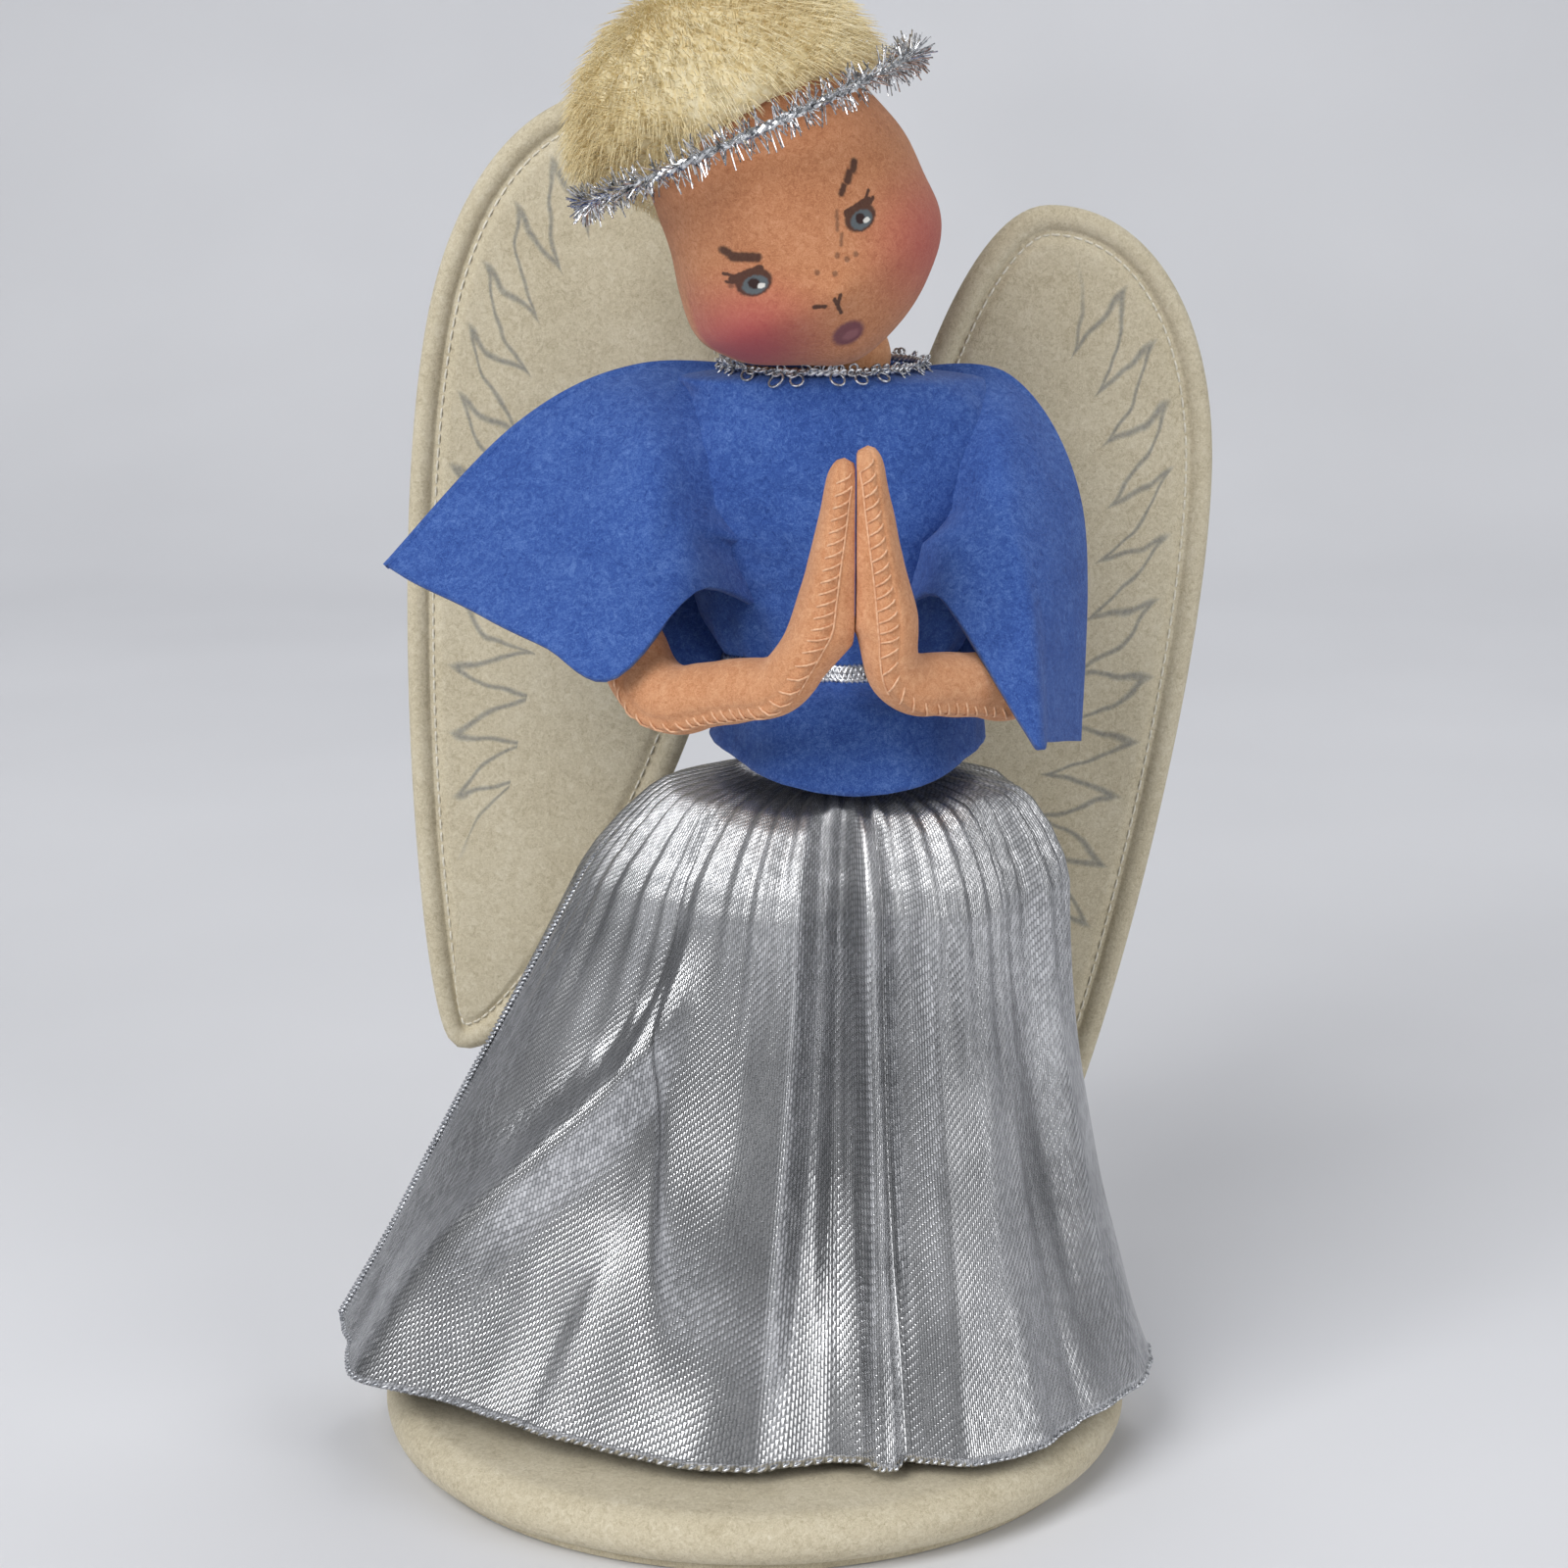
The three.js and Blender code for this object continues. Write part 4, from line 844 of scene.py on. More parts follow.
def makeArm(arm):
    name = sideName[arm.side]
    shoulder, elbow, wrist, tip = armPlaces(arm.side)
    upper, lower = (elbow - shoulder).normalized(), (wrist - elbow).normalized()
    hand = (tip - wrist).normalized()
    for words, first, last, bodies, at, into, away, nodes in (
            ("Arm", 0.0, arm.middle, ("upper_arm", "forearm"), elbow, upper, lower, ("upper_arm", "forearm")),
            ("Hand", arm.middle, 1.0, ("forearm", "hand"), wrist, lower, hand, ("hand",))):
        bm = bmesh.new()
        rows = int((last - first) * arm.length / 0.7)
        wrapGrid(bm, 64, rows, lambda u, v: arm.skin(between(first, last, v), u * circle))
        if words == "Arm":
            threads = arm.stitches(between(arm.elbowAt, last, -0.4), last, armFacts["reachAcross"] * 0.65)
        else:
            threads = arm.stitches(first, 0.985, armFacts["reachAcross"]) + [arm.edgeLine()]
        addThreads(bm, threads, armFacts["threadR"], 1, slot=1)
        piece = meshPiece(name + words, bm, skinFelt, seamThread)
        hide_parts(*(f"{name}_{node}" for node in nodes))
        reach = 8 if words == "Arm" else 6
        (at - into * reach) * unit
        (at + away * reach) * unit
        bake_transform(piece)


def makeArmWires(arm):  # the armature inside follows the arm's own line
    name = sideName[arm.side]
    clear = armFacts["wireClear"] / arm.length
    for words, first, last, body in (("UpperWire", 4 * clear, arm.elbowAt - clear, "upper_arm"),
                                     ("ForeWire", arm.elbowAt + 3 * clear, arm.wristAt - clear, "forearm"),
                                     ("HandWire", arm.wristAt + clear, between(arm.wristAt, 1, 0.6), "hand")):
        bm = bmesh.new()
        path = [arm.frameAt(between(first, last, k / 24))[0] for k in range(25)]
        addThreads(bm, [path], armFacts["wireR"], 2)
        wire = meshPiece(name + words, bm, wireSteel)
        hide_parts(f"{name}_{body}_wire")
        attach(wire, f"{name}_{body}")


# each sleeve is a folded panel, given by its lines from the body to the mouth: the top fold,
# the front corner, both sides of the inner edge and the back corner
sleeveFacts = {
    "right": {"fold": [(7, 0, 205), (-20, 0, 206), (-42, -4, 195.5), (-65.8, -10, 170.8)],
              "front": [(0, -10, 178), (-13, -19.5, 185), (-18, -29, 171), (-24.4, -38, 156)],
              "inner": [(4, -11, 174), (-7, -18, 177.5), (-7.5, -22.5, 173), (-8, -25, 170)],
              "innerBack": [(6, 6, 176), (6, 3, 168), (6, 1, 160), (6, 0, 155)],
              "back": [(4, 8, 184), (-10, 6, 172), (-17, -2, 160), (-24, -12, 150)],
              "cut": (0.082, 0.074), "area": 0.0056},
    "left": {"fold": [(25, 0, 205), (47, -1, 204), (60, -8, 181), (59.6, -20, 141)],
             "front": [(32, -10, 178), (40, -21.5, 183.5), (47, -34, 167), (49, -46, 147)],
             "inner": [(28, -11, 174), (32, -20, 177), (33.5, -26, 173), (32.8, -30, 169.5)],
             "innerBack": [(26, 6, 176), (26, 3, 168), (26, 1, 160), (26, 0, 154)],
             "back": [(28, 8, 184), (44, 6, 172), (56, -3, 160), (57.6, -12, 146)],
             "cut": (0.082, 0.074), "area": 0.0052},
    "edge": 1.0, "bulge": 1.3, "lift": 2.4, "thick": 1.4, "wave": 1.1,
}


def sleevePoint(side, u, v):
    rails = sleeveFacts[sideName[side]]
    fold, front, inner, innerBack, back = (profileAt(rails[key], v)
                                           for key in ("fold", "front", "inner", "innerBack", "back"))
    near = Vector((0, -1, 0))
    edge = near * sleeveFacts["edge"]
    bulge = near * sleeveFacts["bulge"] + Vector((0, -0.8, 0.6)) * sleeveFacts["lift"] * bell(v, 0.36, 0.2)
    ring = [fold + edge, fold.lerp(front, 0.33) + bulge, fold.lerp(front, 0.68) + bulge, front, inner,
            innerBack, back, back.lerp(fold, 0.32) - bulge, back.lerp(fold, 0.67) - bulge, fold - edge]
    point = loopAt(ring, u)
    wave = bump3(point, 0.07) + 0.35 * bump3(point, 0.19)
    return point + near * sleeveFacts["wave"] * wave * smoothStep(v, 0.2, 0.6)


def makeSleeve(side):
    name = sideName[side]
    bm = bmesh.new()
    wrapGrid(bm, 72, 48, lambda u, v: sleevePoint(side, u, v))
    piece = applyAll(thicken(meshPiece(name + "Sleeve", bm, blueFelt), sleeveFacts["thick"], even=False))
    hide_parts(f"{name}_sleeve")
    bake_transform(piece)


for oneArm in (Arm(-1), Arm(1)):
    makeArm(oneArm)
    makeArmWires(oneArm)
    makeSleeve(oneArm.side)
print("arms and sleeves made")

# belt and collar

beltFacts = {"half": 1.85, "waves": 34, "strands": 4, "thread": 0.5}


def beltPath(strand):
    path = []
    steps = 8 * beltFacts["waves"]
    for i in range(steps):
        angle = circle * i / steps
        phase = beltFacts["waves"] * angle + circle * strand / beltFacts["strands"]
        height = tunicFacts["tied"] + (beltFacts["half"] - beltFacts["thread"]) * math.sin(phase)
        low = tunicLow(angle)
        part = (alongAt(height) - low) / (neckAlong - low)
        over = felt + 0.6 + 0.3 * math.cos(2 * phase)
        point = tunicEase(tunicPoint(angle, part, over), angle, 1)
        path.append((point.x, point.y, height))
    return path


def makeBelt():
    bm = bmesh.new()
    addThreads(bm, [beltPath(k) for k in range(beltFacts["strands"])], beltFacts["thread"], 1, closed=True)
    belt = meshPiece("beltBraid", bm, silverThread)
    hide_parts("belt")
    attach(belt, "body")


collarFacts = {"loops": 23, "loopR": (1.1, 1.4), "curls": 110, "curlR": (0.55, 0.85), "thread": 0.24,
               "cord": 0.45, "part": 0.955, "raise": 4.2, "steps": 200, "turns": 40, "twistR": 0.35,
               "ring": 14}


def makeCollar():
    bm = bmesh.new()
    lift = Vector((0, 0, collarFacts["raise"]))

    def edge(angle, extra):
        part = collarFacts["part"]
        return tunicPoint(angle, part, felt + extra) + lift + neckOpen(angle, part)

    # the cords that carry the loops
    twistedCords(bm, collarFacts, lambda angle, out, up: edge(angle, 0.5 + out) + Vector((0, 0, up)))
    loops = []
    rng = random.Random(4)

    def addLoop(angle, size, droop, stem):  # a ring of thread standing out from the cord
        out = Vector((math.cos(angle), math.sin(angle), -droop)).normalized()
        along = Vector((-math.sin(angle), math.cos(angle), rng.uniform(-0.3, 0.3)))
        middle = edge(angle, 0.7) + out * (stem + size)
        turns = [circle * k / collarFacts["ring"] for k in range(collarFacts["ring"])]
        loops.append([middle - out * size * math.cos(turn) + along * size * math.sin(turn) for turn in turns])

    for i in range(collarFacts["loops"]):  # large loops hang over the felt
        addLoop(circle * (i + rng.uniform(0.3, 0.7)) / collarFacts["loops"],
                rng.uniform(*collarFacts["loopR"]), rng.uniform(0.7, 1.3), rng.uniform(0.2, 0.9))
    for i in range(collarFacts["curls"]):  # small curls crowd along the cord
        addLoop(circle * (i + rng.random()) / collarFacts["curls"], rng.uniform(*collarFacts["curlR"]),
                rng.uniform(-2.5, 1.2), 0)
    addThreads(bm, loops, collarFacts["thread"], 0, closed=True)
    collar = meshPiece("collarLoops", bm, silverThread)
    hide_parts("collar_trim")
    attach(collar, "body")


makeBelt()
makeCollar()
print("belt and collar made")

# skirt

skirtFacts = {"thick": 0.7, "lame": 0.9, "top": 141.4, "shelfZ": 131.2, "shelf": 40, "drop": 6, "right": 97,
              "left": 60, "front": 57, "back": 33, "lift": 2, "rightLift": 6, "frontShelf": 0.76,
              "backShelf": 0.66, "bandEnd": 0.15, "hipEnd": 0.35, "frontFlare": 1.6, "leftFlare": 2.1,
              "gathers": 46, "gather": 1.0, "weave": (420, 150), "cut": (0.42, 0.135), "area": 0.05}
# how far the cloth stands out or in, facing 0 to the front and 90 to the doll's left
skirtFolds = [(-180, 1), (-152, 3), (-130, -3.5), (-106, 2.5), (-90, 0), (-72, 0.6), (-56, 0), (-48, -0.5),
              (-40, 0), (-33, 1.2), (-26, 2.6), (-17, 4.2), (-9.5, 3.4), (-5.5, -4), (-1, -8), (3.5, -5.5),
              (6.6, 3.4), (9.2, 3), (12, -4.5), (15.5, -1), (23, 3.4), (31, 4.4), (41, 2.6), (51, -2.2),
              (60, -3), (72, 2.4), (86, 3), (101, -3), (119, 3), (141, -3.5), (161, 2.5), (180, 1)]
# the ridge and the lap beside it, in degrees of facing and millimetres of height
ridgeFacts = {"from": -36, "swing": 28, "high": 4.4, "wide": 7, "dip": 1.6, "dipAway": 17, "dipWide": 9,
              "valley": 1.5, "lapFrom": -41, "lapSwing": 19, "lapHigh": 3.4, "lapWide": 16}


def facingOf(angle):
    return (math.degrees(angle) + 270) % 360 - 180


def foldHeight(angle):
    facing = facingOf(angle)
    for (a, low), (b, high) in zip(skirtFolds, skirtFolds[1:]):
        if facing <= b:
            return between(low, high, smoothStep(facing, a, b))
    return skirtFolds[-1][1]


def sweptRidge(angle, t):  # a long ridge runs down and out across the right panel, the front lapping over it
    facts, facing = ridgeFacts, facingOf(angle)
    at = facts["from"] - facts["swing"] * smoothStep(t, 0.48, 0.92)
    lap = facts["lapFrom"] + facts["lapSwing"] * smoothStep(t, 0.4, 0.95)
    valley = bell(facing, between(at, lap, 0.5), max(lap - at, 1) * 0.36) * clampTo((lap - at) / 30)
    ridge = facts["high"] * bell(facing, at, facts["wide"]) - facts["valley"] * valley
    ridge -= facts["dip"] * bell(facing, at - facts["dipAway"], facts["dipWide"])
    step = smoothStep(facing, lap - 3, lap + 1.5) - 0.5
    front = facts["lapHigh"] * step * bell(facing, lap, facts["lapWide"])
    front *= hump(t, (0.26, 0.4), (0.72, 0.94))
    return ridge * smoothStep(t, 0.44, 0.62) + front


def skirtBase(angle, t):  # down the band, out over the hips, then down to the hem
    facts, c, s = skirtFacts, math.cos(angle), math.sin(angle)
    lame = gap + facts["lame"]
    if t < facts["bandEnd"]:
        height = between(facts["top"], facts["shelfZ"], t / facts["bandEnd"])
        return torsoPoint(angle, alongAt(height), lame)
    top = torsoPoint(angle, alongAt(facts["shelfZ"]), lame)
    deep = (facts["frontShelf"] if s < 0 else facts["backShelf"]) * facts["shelf"] * s
    shelf = Vector((figureX + facts["shelf"] * c, deep, facts["shelfZ"] - facts["drop"]))
    if t < facts["hipEnd"]:
        middle = Vector((between(top.x, shelf.x, 0.55), between(top.y, shelf.y, 0.55),
                         between(top.z, shelf.z, 0.25)))
        return arc(top, middle, shelf, (t - facts["bandEnd"]) / (facts["hipEnd"] - facts["bandEnd"]))
    part = (t - facts["hipEnd"]) / (1 - facts["hipEnd"])
    tight = between(between(1, facts["frontFlare"], max(-s, 0)), facts["leftFlare"], max(c, 0) ** 1.5)
    reach = part ** tight
    wide = facts["left"] if c > 0 else facts["right"]
    far = facts["back"] if s > 0 else facts["front"]
    rise = facts["lift"] + facts["rightLift"] * max(-c, 0) ** 2 + facts["lame"]
    return Vector((figureX + between(facts["shelf"], wide, reach) * c, between(shelf.y, far * s, reach),
                   between(shelf.z, baseFacts["top"] + rise, part)))


def skirtPoint(u, v):
    angle = u * circle
    soft = 0.11 * bell(v, 0.36, 0.16)  # the cloth rounds over where it leaves the hips
    point = sum((skirtBase(angle, clampTo(v + soft * k)) for k in (-1, -0.5, 0, 0.5, 1)), Vector()) / 5
    out = Vector((math.cos(angle), math.sin(angle) * 0.8, 0)).normalized()
    way = outward(angle)
    jitter = noise.noise(way * 3)
    ripple = skirtFacts["gather"] * math.sin(skirtFacts["gathers"] * angle + 3 * jitter)
    ripple *= hump(v, (0.05, 0.2), (0.3, 0.72)) * (0.8 + 0.4 * jitter)
    hang = smoothStep(v, 0.12, 0.4) * between(1, 0.45, smoothStep(v, 0.68, 1))
    hem = 1.6 * noise.noise(way * 3.5 + Vector((0, 0, 7 + 1.2 * v))) * smoothStep(v, 0.5, 1)
    hem += 0.9 * noise.noise(way * 9 + Vector((0, 0, 6 * v))) * smoothStep(v, 0.7, 0.9)
    point += out * (ripple + foldHeight(angle) * hang + sweptRidge(angle, v) + hem)
    point.z += 0.5 * ripple * (1 - smoothStep(v, 0.3, 0.5))
    return point


# overcast edges, three points to a turn of the thread
edgingFacts = {"points": 900, "thread": 0.3, "seamU": 0.492, "seamTop": 0.28, "seamPoints": 420,
               "seamThread": 0.42}


def makeSkirt():
    bm = bmesh.new()
    wide, high = skirtFacts["weave"]
    wrapGrid(bm, 320, 110, skirtPoint, lambda u, v: (u * wide, v * high))
    skirt = thicken(meshPiece("skirtLame", bm, lameWeave), skirtFacts["thick"])
    facts, hem = edgingFacts, bmesh.new()
    edge = []
    for i in range(facts["points"]):
        u, twist = i / facts["points"], circle * i / 3
        edge.append(skirtPoint(u, 1) + outward(u * circle) * (0.45 * math.cos(twist) - 0.3)
                    + Vector((0, 0, 0.25 + 0.45 * math.sin(twist))))
    addThreads(hem, [edge], facts["thread"], 0, closed=True)
    seam = []
    for i in range(facts["seamPoints"]):  # the cloth's side edge comes down the right silhouette
        v, twist = between(facts["seamTop"], 1, i / (facts["seamPoints"] - 1)), circle * i / 3
        seam.append(skirtPoint(facts["seamU"], v)
                    + Vector((-0.5 - 0.4 * math.cos(twist), 0.7 * math.sin(twist), 0)))
    addThreads(hem, [seam], facts["seamThread"], 0)
    edging = meshPiece("skirtHemEdging", hem, silverThread)
    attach(edging, "body")
    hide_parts("skirt")
    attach(skirt, "body")


bandFacts = {"low": 141.7, "high": 145.7, "thick": 1.2, "wall": 1.0, "puckers": 36, "pucker": 0.25}


def bandPoint(u, v):
    angle = u * circle
    height = between(bandFacts["low"], bandFacts["high"], v)
    pucker = bandFacts["pucker"] * math.sin(bandFacts["puckers"] * angle) * math.sin(math.pi * v)
    return torsoPoint(angle, alongAt(height), gap + bandFacts["thick"] + pucker)


def makeBand():
    bm = bmesh.new()
    wrapGrid(bm, 180, 6, bandPoint)
    band = thicken(meshPiece("skirtBand", bm, bodyFelt), bandFacts["wall"])
    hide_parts("skirt_waistband")
    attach(band, "body")


makeBand()
makeSkirt()
print("skirt made")

# head

headFacts = {"half": 25, "height": 67, "depth": 0.98, "roll": 27, "turn": 9, "nod": 6,
             "neck": (17.5, -2, 208.7), "forward": 6, "seat": 0.8, "nape": 0.3}
headLow = -headFacts["height"] * 0.48
headProfile = [(headFacts["half"] * wide, headLow + headFacts["height"] * high) for wide, high in (
    (0, 0), (0.56, 0.045), (0.94, 0.2), (1, 0.36), (0.98, 0.58), (0.86, 0.8), (0.5, 0.95), (0, 1))]
headTurn = (Matrix.Rotation(math.radians(-headFacts["roll"]), 4, "Y")
            @ Matrix.Rotation(math.radians(headFacts["nod"]), 4, "X")
            @ Matrix.Rotation(math.radians(headFacts["turn"]), 4, "Z"))
headUp = headTurn @ Vector((0, 0, 1))
headAt = (Vector(headFacts["neck"]) + Vector((0, -headFacts["forward"], 0))
          + headUp * (headFacts["seat"] - headLow))
headPlace = Matrix.Translation(headAt) @ headTurn


def headLocal(angle, part, grow):
    at, run = profileAt(headProfile, part), profileRun(headProfile, part)
    wide = max(at.x + run.y * grow, 0)
    jaw = 1 - smoothStep(at.y, headLow, headLow + headFacts["height"] * 0.4)
    depth = headFacts["depth"] - (headFacts["nape"] * jaw if math.sin(angle) > 0 else 0)
    deep = max(at.x * depth + run.y * grow, 0)
    return Vector((wide * math.cos(angle), deep * math.sin(angle), at.y - run.x * grow))


# where the face's soft swellings are: across, up, radius, height
faceForms = [(-14.5, -16, 8, 0.9), (14.5, -16, 8, 0.9), (-1.2, -17, 3.2, 1.0), (-11.2, -8.9, 5, -0.5),
             (9.9, -7.4, 5, -0.5), (0, -29, 5, 0.4)]
# the stuffing sits a little unevenly: across, up, radius, push across and up
facePulls = [(-13, -30, 9, 1.0, 2.2), (1, -32.5, 8, -0.6, -1.4)]
cheekFacts = {"shift": 1.9, "from": 12, "to": -4, "temple": 6.2}


def templePush(point):  # the right temple is flat under the hair
    return cheekFacts["temple"] * smoothStep(point.z, -18, 12) * smoothStep(-point.x, 2, 20)


def headPoint(u, v):
    angle = u * circle
    point = headLocal(angle, v, 0)

    def near(x, z, size):
        return math.exp(-((point.x - x) ** 2 + (point.z - z) ** 2) / size ** 2)

    swell = sum(high * near(x, z, size) for x, z, size, high in faceForms) * smoothStep(-point.y, 4, 12)
    swell += 0.25 * bump3(point, 0.12)
    lean = cheekFacts["shift"] * (1 - smoothStep(point.z, cheekFacts["to"], cheekFacts["from"]))
    lean *= smoothStep(point.z, headLow, headLow + 12)
    shift = Vector((lean + templePush(point), 0, 0))
    for x, z, size, across, up in facePulls:
        shift += Vector((across, 0, up)) * near(x, z, size)
    return headPlace @ (point + outward(angle) * swell + shift)


faceFacts = {
    "skin": {"dark": "a36747", "mid": "c2855f", "light": "d69f7b"}, "sheen": 0.15,
    "flush": "b04b56", "lip": "6b4150", "lipLight": "97666a", "ink": "3a2b2a",
    "iris": "5e6569", "white": "dcdad4", "eyes": [(-11.2, -8.9), (9.9, -7.4)],
    "brows": [((-13.0, -2.0), (-12.1, -3.5), 0.7), ((-12.2, -3.6), (-9.0, -5.2), 0.85),
              ((13.4, 1.2), (12.6, 0.2), 0.7), ((11.7, 0.1), (10.8, -0.9), 0.7),
              ((9.8, -1.3), (8.8, -2.2), 0.55)],
    "noseStrokes": [((-4.3, -17.1), (-2.5, -18.0)), ((-0.6, -17.5), (-0.4, -20.4)),
                    ((-0.5, -18.6), (0.6, -17.3))],
    "pencil": [((6.6, -4.4), (5.2, -7.2)), ((5.6, -8.2), (4.6, -9.8))],
    "mouth": (-0.4, -24.9), "cheeks": [(20.5, -18.2, 9.5, 0.62), (-17.2, -20, 9.5, 0.85)],
    "freckles": [(3.2, -11.0), (4.4, -12.4), (6.2, -12.4), (-1.2, -12.0), (-14.6, -8.0), (1.4, -13.6)],
}


def facePaint():  # the features are painted on the felt, in the head's own frame
    facts = faceFacts
    paint = feltBase("faceFelt", facts["sheen"])
    spot = paint.spots()
    colour, height = feltColour(paint, facts["skin"], spot)
    x, y, z = paint.axes(paint.local(headPlace))
    bleed = paint.grain(spot, 1500, 2)  # ink runs a little along the fibres
    x, z = x + (bleed - 0.5) * 0.5, z + (paint.grain(spot, 1700, 2) - 0.5) * 0.5
    front = paint.fade(y, -6, -2)

    def blot(at, wide, high, soft):
        far = (((x - at[0]) / wide) ** 2 + ((z - at[1]) / high) ** 2) ** 0.5
        return paint.fade(far, 1 - soft, 1 + soft)

    def stroke(first, last, half, soft=0.15):
        dx, dz = last[0] - first[0], last[1] - first[1]
        part = (((x - first[0]) * dx + (z - first[1]) * dz) / (dx * dx + dz * dz)).most(0.0).least(1.0)
        far = ((x - first[0] - part * dx) ** 2 + (z - first[1] - part * dz) ** 2) ** 0.5
        return paint.fade(far, half - soft, half + soft)

    for cx, cz, size, much in facts["cheeks"]:
        colour = paint.mix(blot((cx, cz), size, size, 0.9) * much * front, colour, tint(facts["flush"]))
    marks = [stroke(first, last, half, 0.3) for first, last, half in facts["brows"]]
    marks += [stroke(*ends, 0.36) for ends in facts["noseStrokes"]]
    marks += [stroke(*ends, 0.3, 0.25) * 0.6 for ends in facts["pencil"]]
    marks += [blot(at, 0.5, 0.5, 0.4) * 0.6 for at in facts["freckles"]]
    for side, (ex, ez) in zip((-1, 1), facts["eyes"]):
        marks.append(blot((ex, ez), 3.0, 2.35, 0.1))
        marks.append(stroke((ex - side * 1.8, ez + 1.7), (ex + side * 2.7, ez + 1.7), 0.75))
        for j in range(2):  # lashes
            lean = side * 0.3 * j
            marks.append(stroke((ex + side * 2.2 + lean, ez + 2.0 - j),
                                (ex + side * 3.5 + lean, ez + 3.2 - 1.5 * j), 0.3))
    ink = marks[0]
    for mark in marks[1:]:
        ink = ink.most(mark)
    colour = paint.mix(ink * 0.88 * front, colour, tint(facts["ink"]))
    mx, mz = facts["mouth"]
    colour = paint.mix(blot((mx, mz), 2.9, 2.2, 0.22) * 0.88 * front, colour, tint(facts["lip"]))
    shine = blot((mx + 0.3, mz - 0.5), 1.5, 0.8, 0.4)
    colour = paint.mix(shine * 0.7 * front, colour, tint(facts["lipLight"]))
    for ex, ez in facts["eyes"]:
        colour = paint.mix(blot((ex, ez - 0.45), 2.1, 1.55, 0.14) * front, colour, tint(facts["iris"]))
        colour = paint.mix(blot((ex - 0.1, ez - 0.2), 0.9, 0.95, 0.2) * front, colour, tint(facts["ink"]))
        colour = paint.mix(blot((ex + 0.8, ez - 1.0), 0.65, 0.45, 0.25) * front, colour, tint(facts["white"]))
    paint.feed("Base Color", colour)
    paint.raised(height, 0.5, 0.5)
    return paint


def makeHead():
    bm = bmesh.new()
    wrapGrid(bm, 128, 96, headPoint)
    head = meshPiece("headFelt", bm, facePaint())
    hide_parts("head")
    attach(head, "head")


makeHead()
print("head made")

# hair

hairFacts = {"cap": 3.4, "edge": 0.8, "strands": 9000, "length": (4.2, 7.0), "thread": 0.1, "faceAcross": 33,
             "faceDeep": 30, "faceUp": 26.8, "faceZ": -14.07, "line": 10.5, "sideSlope": 0.3,
             "backSlope": 1.3, "backFrom": 10, "columns": 144, "dent": 1.1,
             "dark": "d6bf8b", "mid": "eedfb4", "light": "fbf3d8"}
haloFacts = {"roll": 24, "rise": 12, "radius": 31.4, "shift": 2.6, "cord": 0.55, "twistR": 0.5,
             "steps": 180, "turns": 36, "strands": 1700, "reach": (2.6, 4.6), "thread": 0.16}
haloTurn = Matrix.Rotation(math.radians(-haloFacts["roll"]), 4, "Y")
haloUp = haloTurn @ Vector((0, 0, 1))
haloAcross = haloTurn @ Vector((1, 0, 0))
haloAt = headAt + headUp * haloFacts["rise"] + haloAcross * haloFacts["shift"]


def aboveHalo(point):
    return (point - haloAt).dot(haloUp)


def hairKept(point):  # clear of the face opening, high at the sides and lower at the back
    facts = hairFacts
    face = ((point.x / facts["faceAcross"]) ** 2 + ((point.y + facts["faceDeep"]) / facts["faceDeep"]) ** 2
            + ((point.z - facts["faceZ"]) / facts["faceUp"]) ** 2)
    dip = facts["sideSlope"] * min(point.y, 0) + facts["backSlope"] * max(point.y - facts["backFrom"], 0)
    return face > 1 and point.z > facts["line"] - dip


def hairLine(angle):
    part = 1.0
    while part > 0.05 and hairKept(headLocal(angle, part, hairFacts["cap"])):
        part -= 0.004
    return part + 0.004


hairEnds = [hairLine(circle * i / hairFacts["columns"]) for i in range(hairFacts["columns"])]
hairLines = [sum(hairEnds[(i + k) % len(hairEnds)] for k in range(-3, 4)) / 7 for i in range(len(hairEnds))]


def hairPoint(u, v):
    place = u * len(hairLines)
    i = int(place)
    low = between(hairLines[i % len(hairLines)], hairLines[(i + 1) % len(hairLines)], place - i)
    rim = math.sqrt(1 - (1 - clampTo(v / 0.14)) ** 2)
    grow = between(hairFacts["edge"], hairFacts["cap"], rim)
    point = headLocal(u * circle, between(low, 1, v), grow)
    point.x += templePush(point) * (1 - smoothStep(v, 0, 0.24))
    point = headPlace @ point
    dent = hairFacts["dent"] * bell(aboveHalo(point), 0, 2.6)
    return point + (point - headAt).normalized() * (0.7 * bump3(point, 0.09) - dent)


def plushPaint():
    paint = Paint("blondPlush", {"Roughness": 0.75, "Specular IOR Level": 0.25, "Sheen Weight": 0.25,
                                 "Sheen Roughness": 0.4})
    spot = paint.spots()
    tone = paint.grain(spot, 60, 2) * 0.35 + paint.grain(spot, 900, 3) * 0.65
    paint.feed("Base Color", paint.shades(tone, hairFacts, 0.32, 0.5, 0.68))
    paint.raised(paint.grain(spot, 1800, 3), 0.4, 0.5)
    return paint


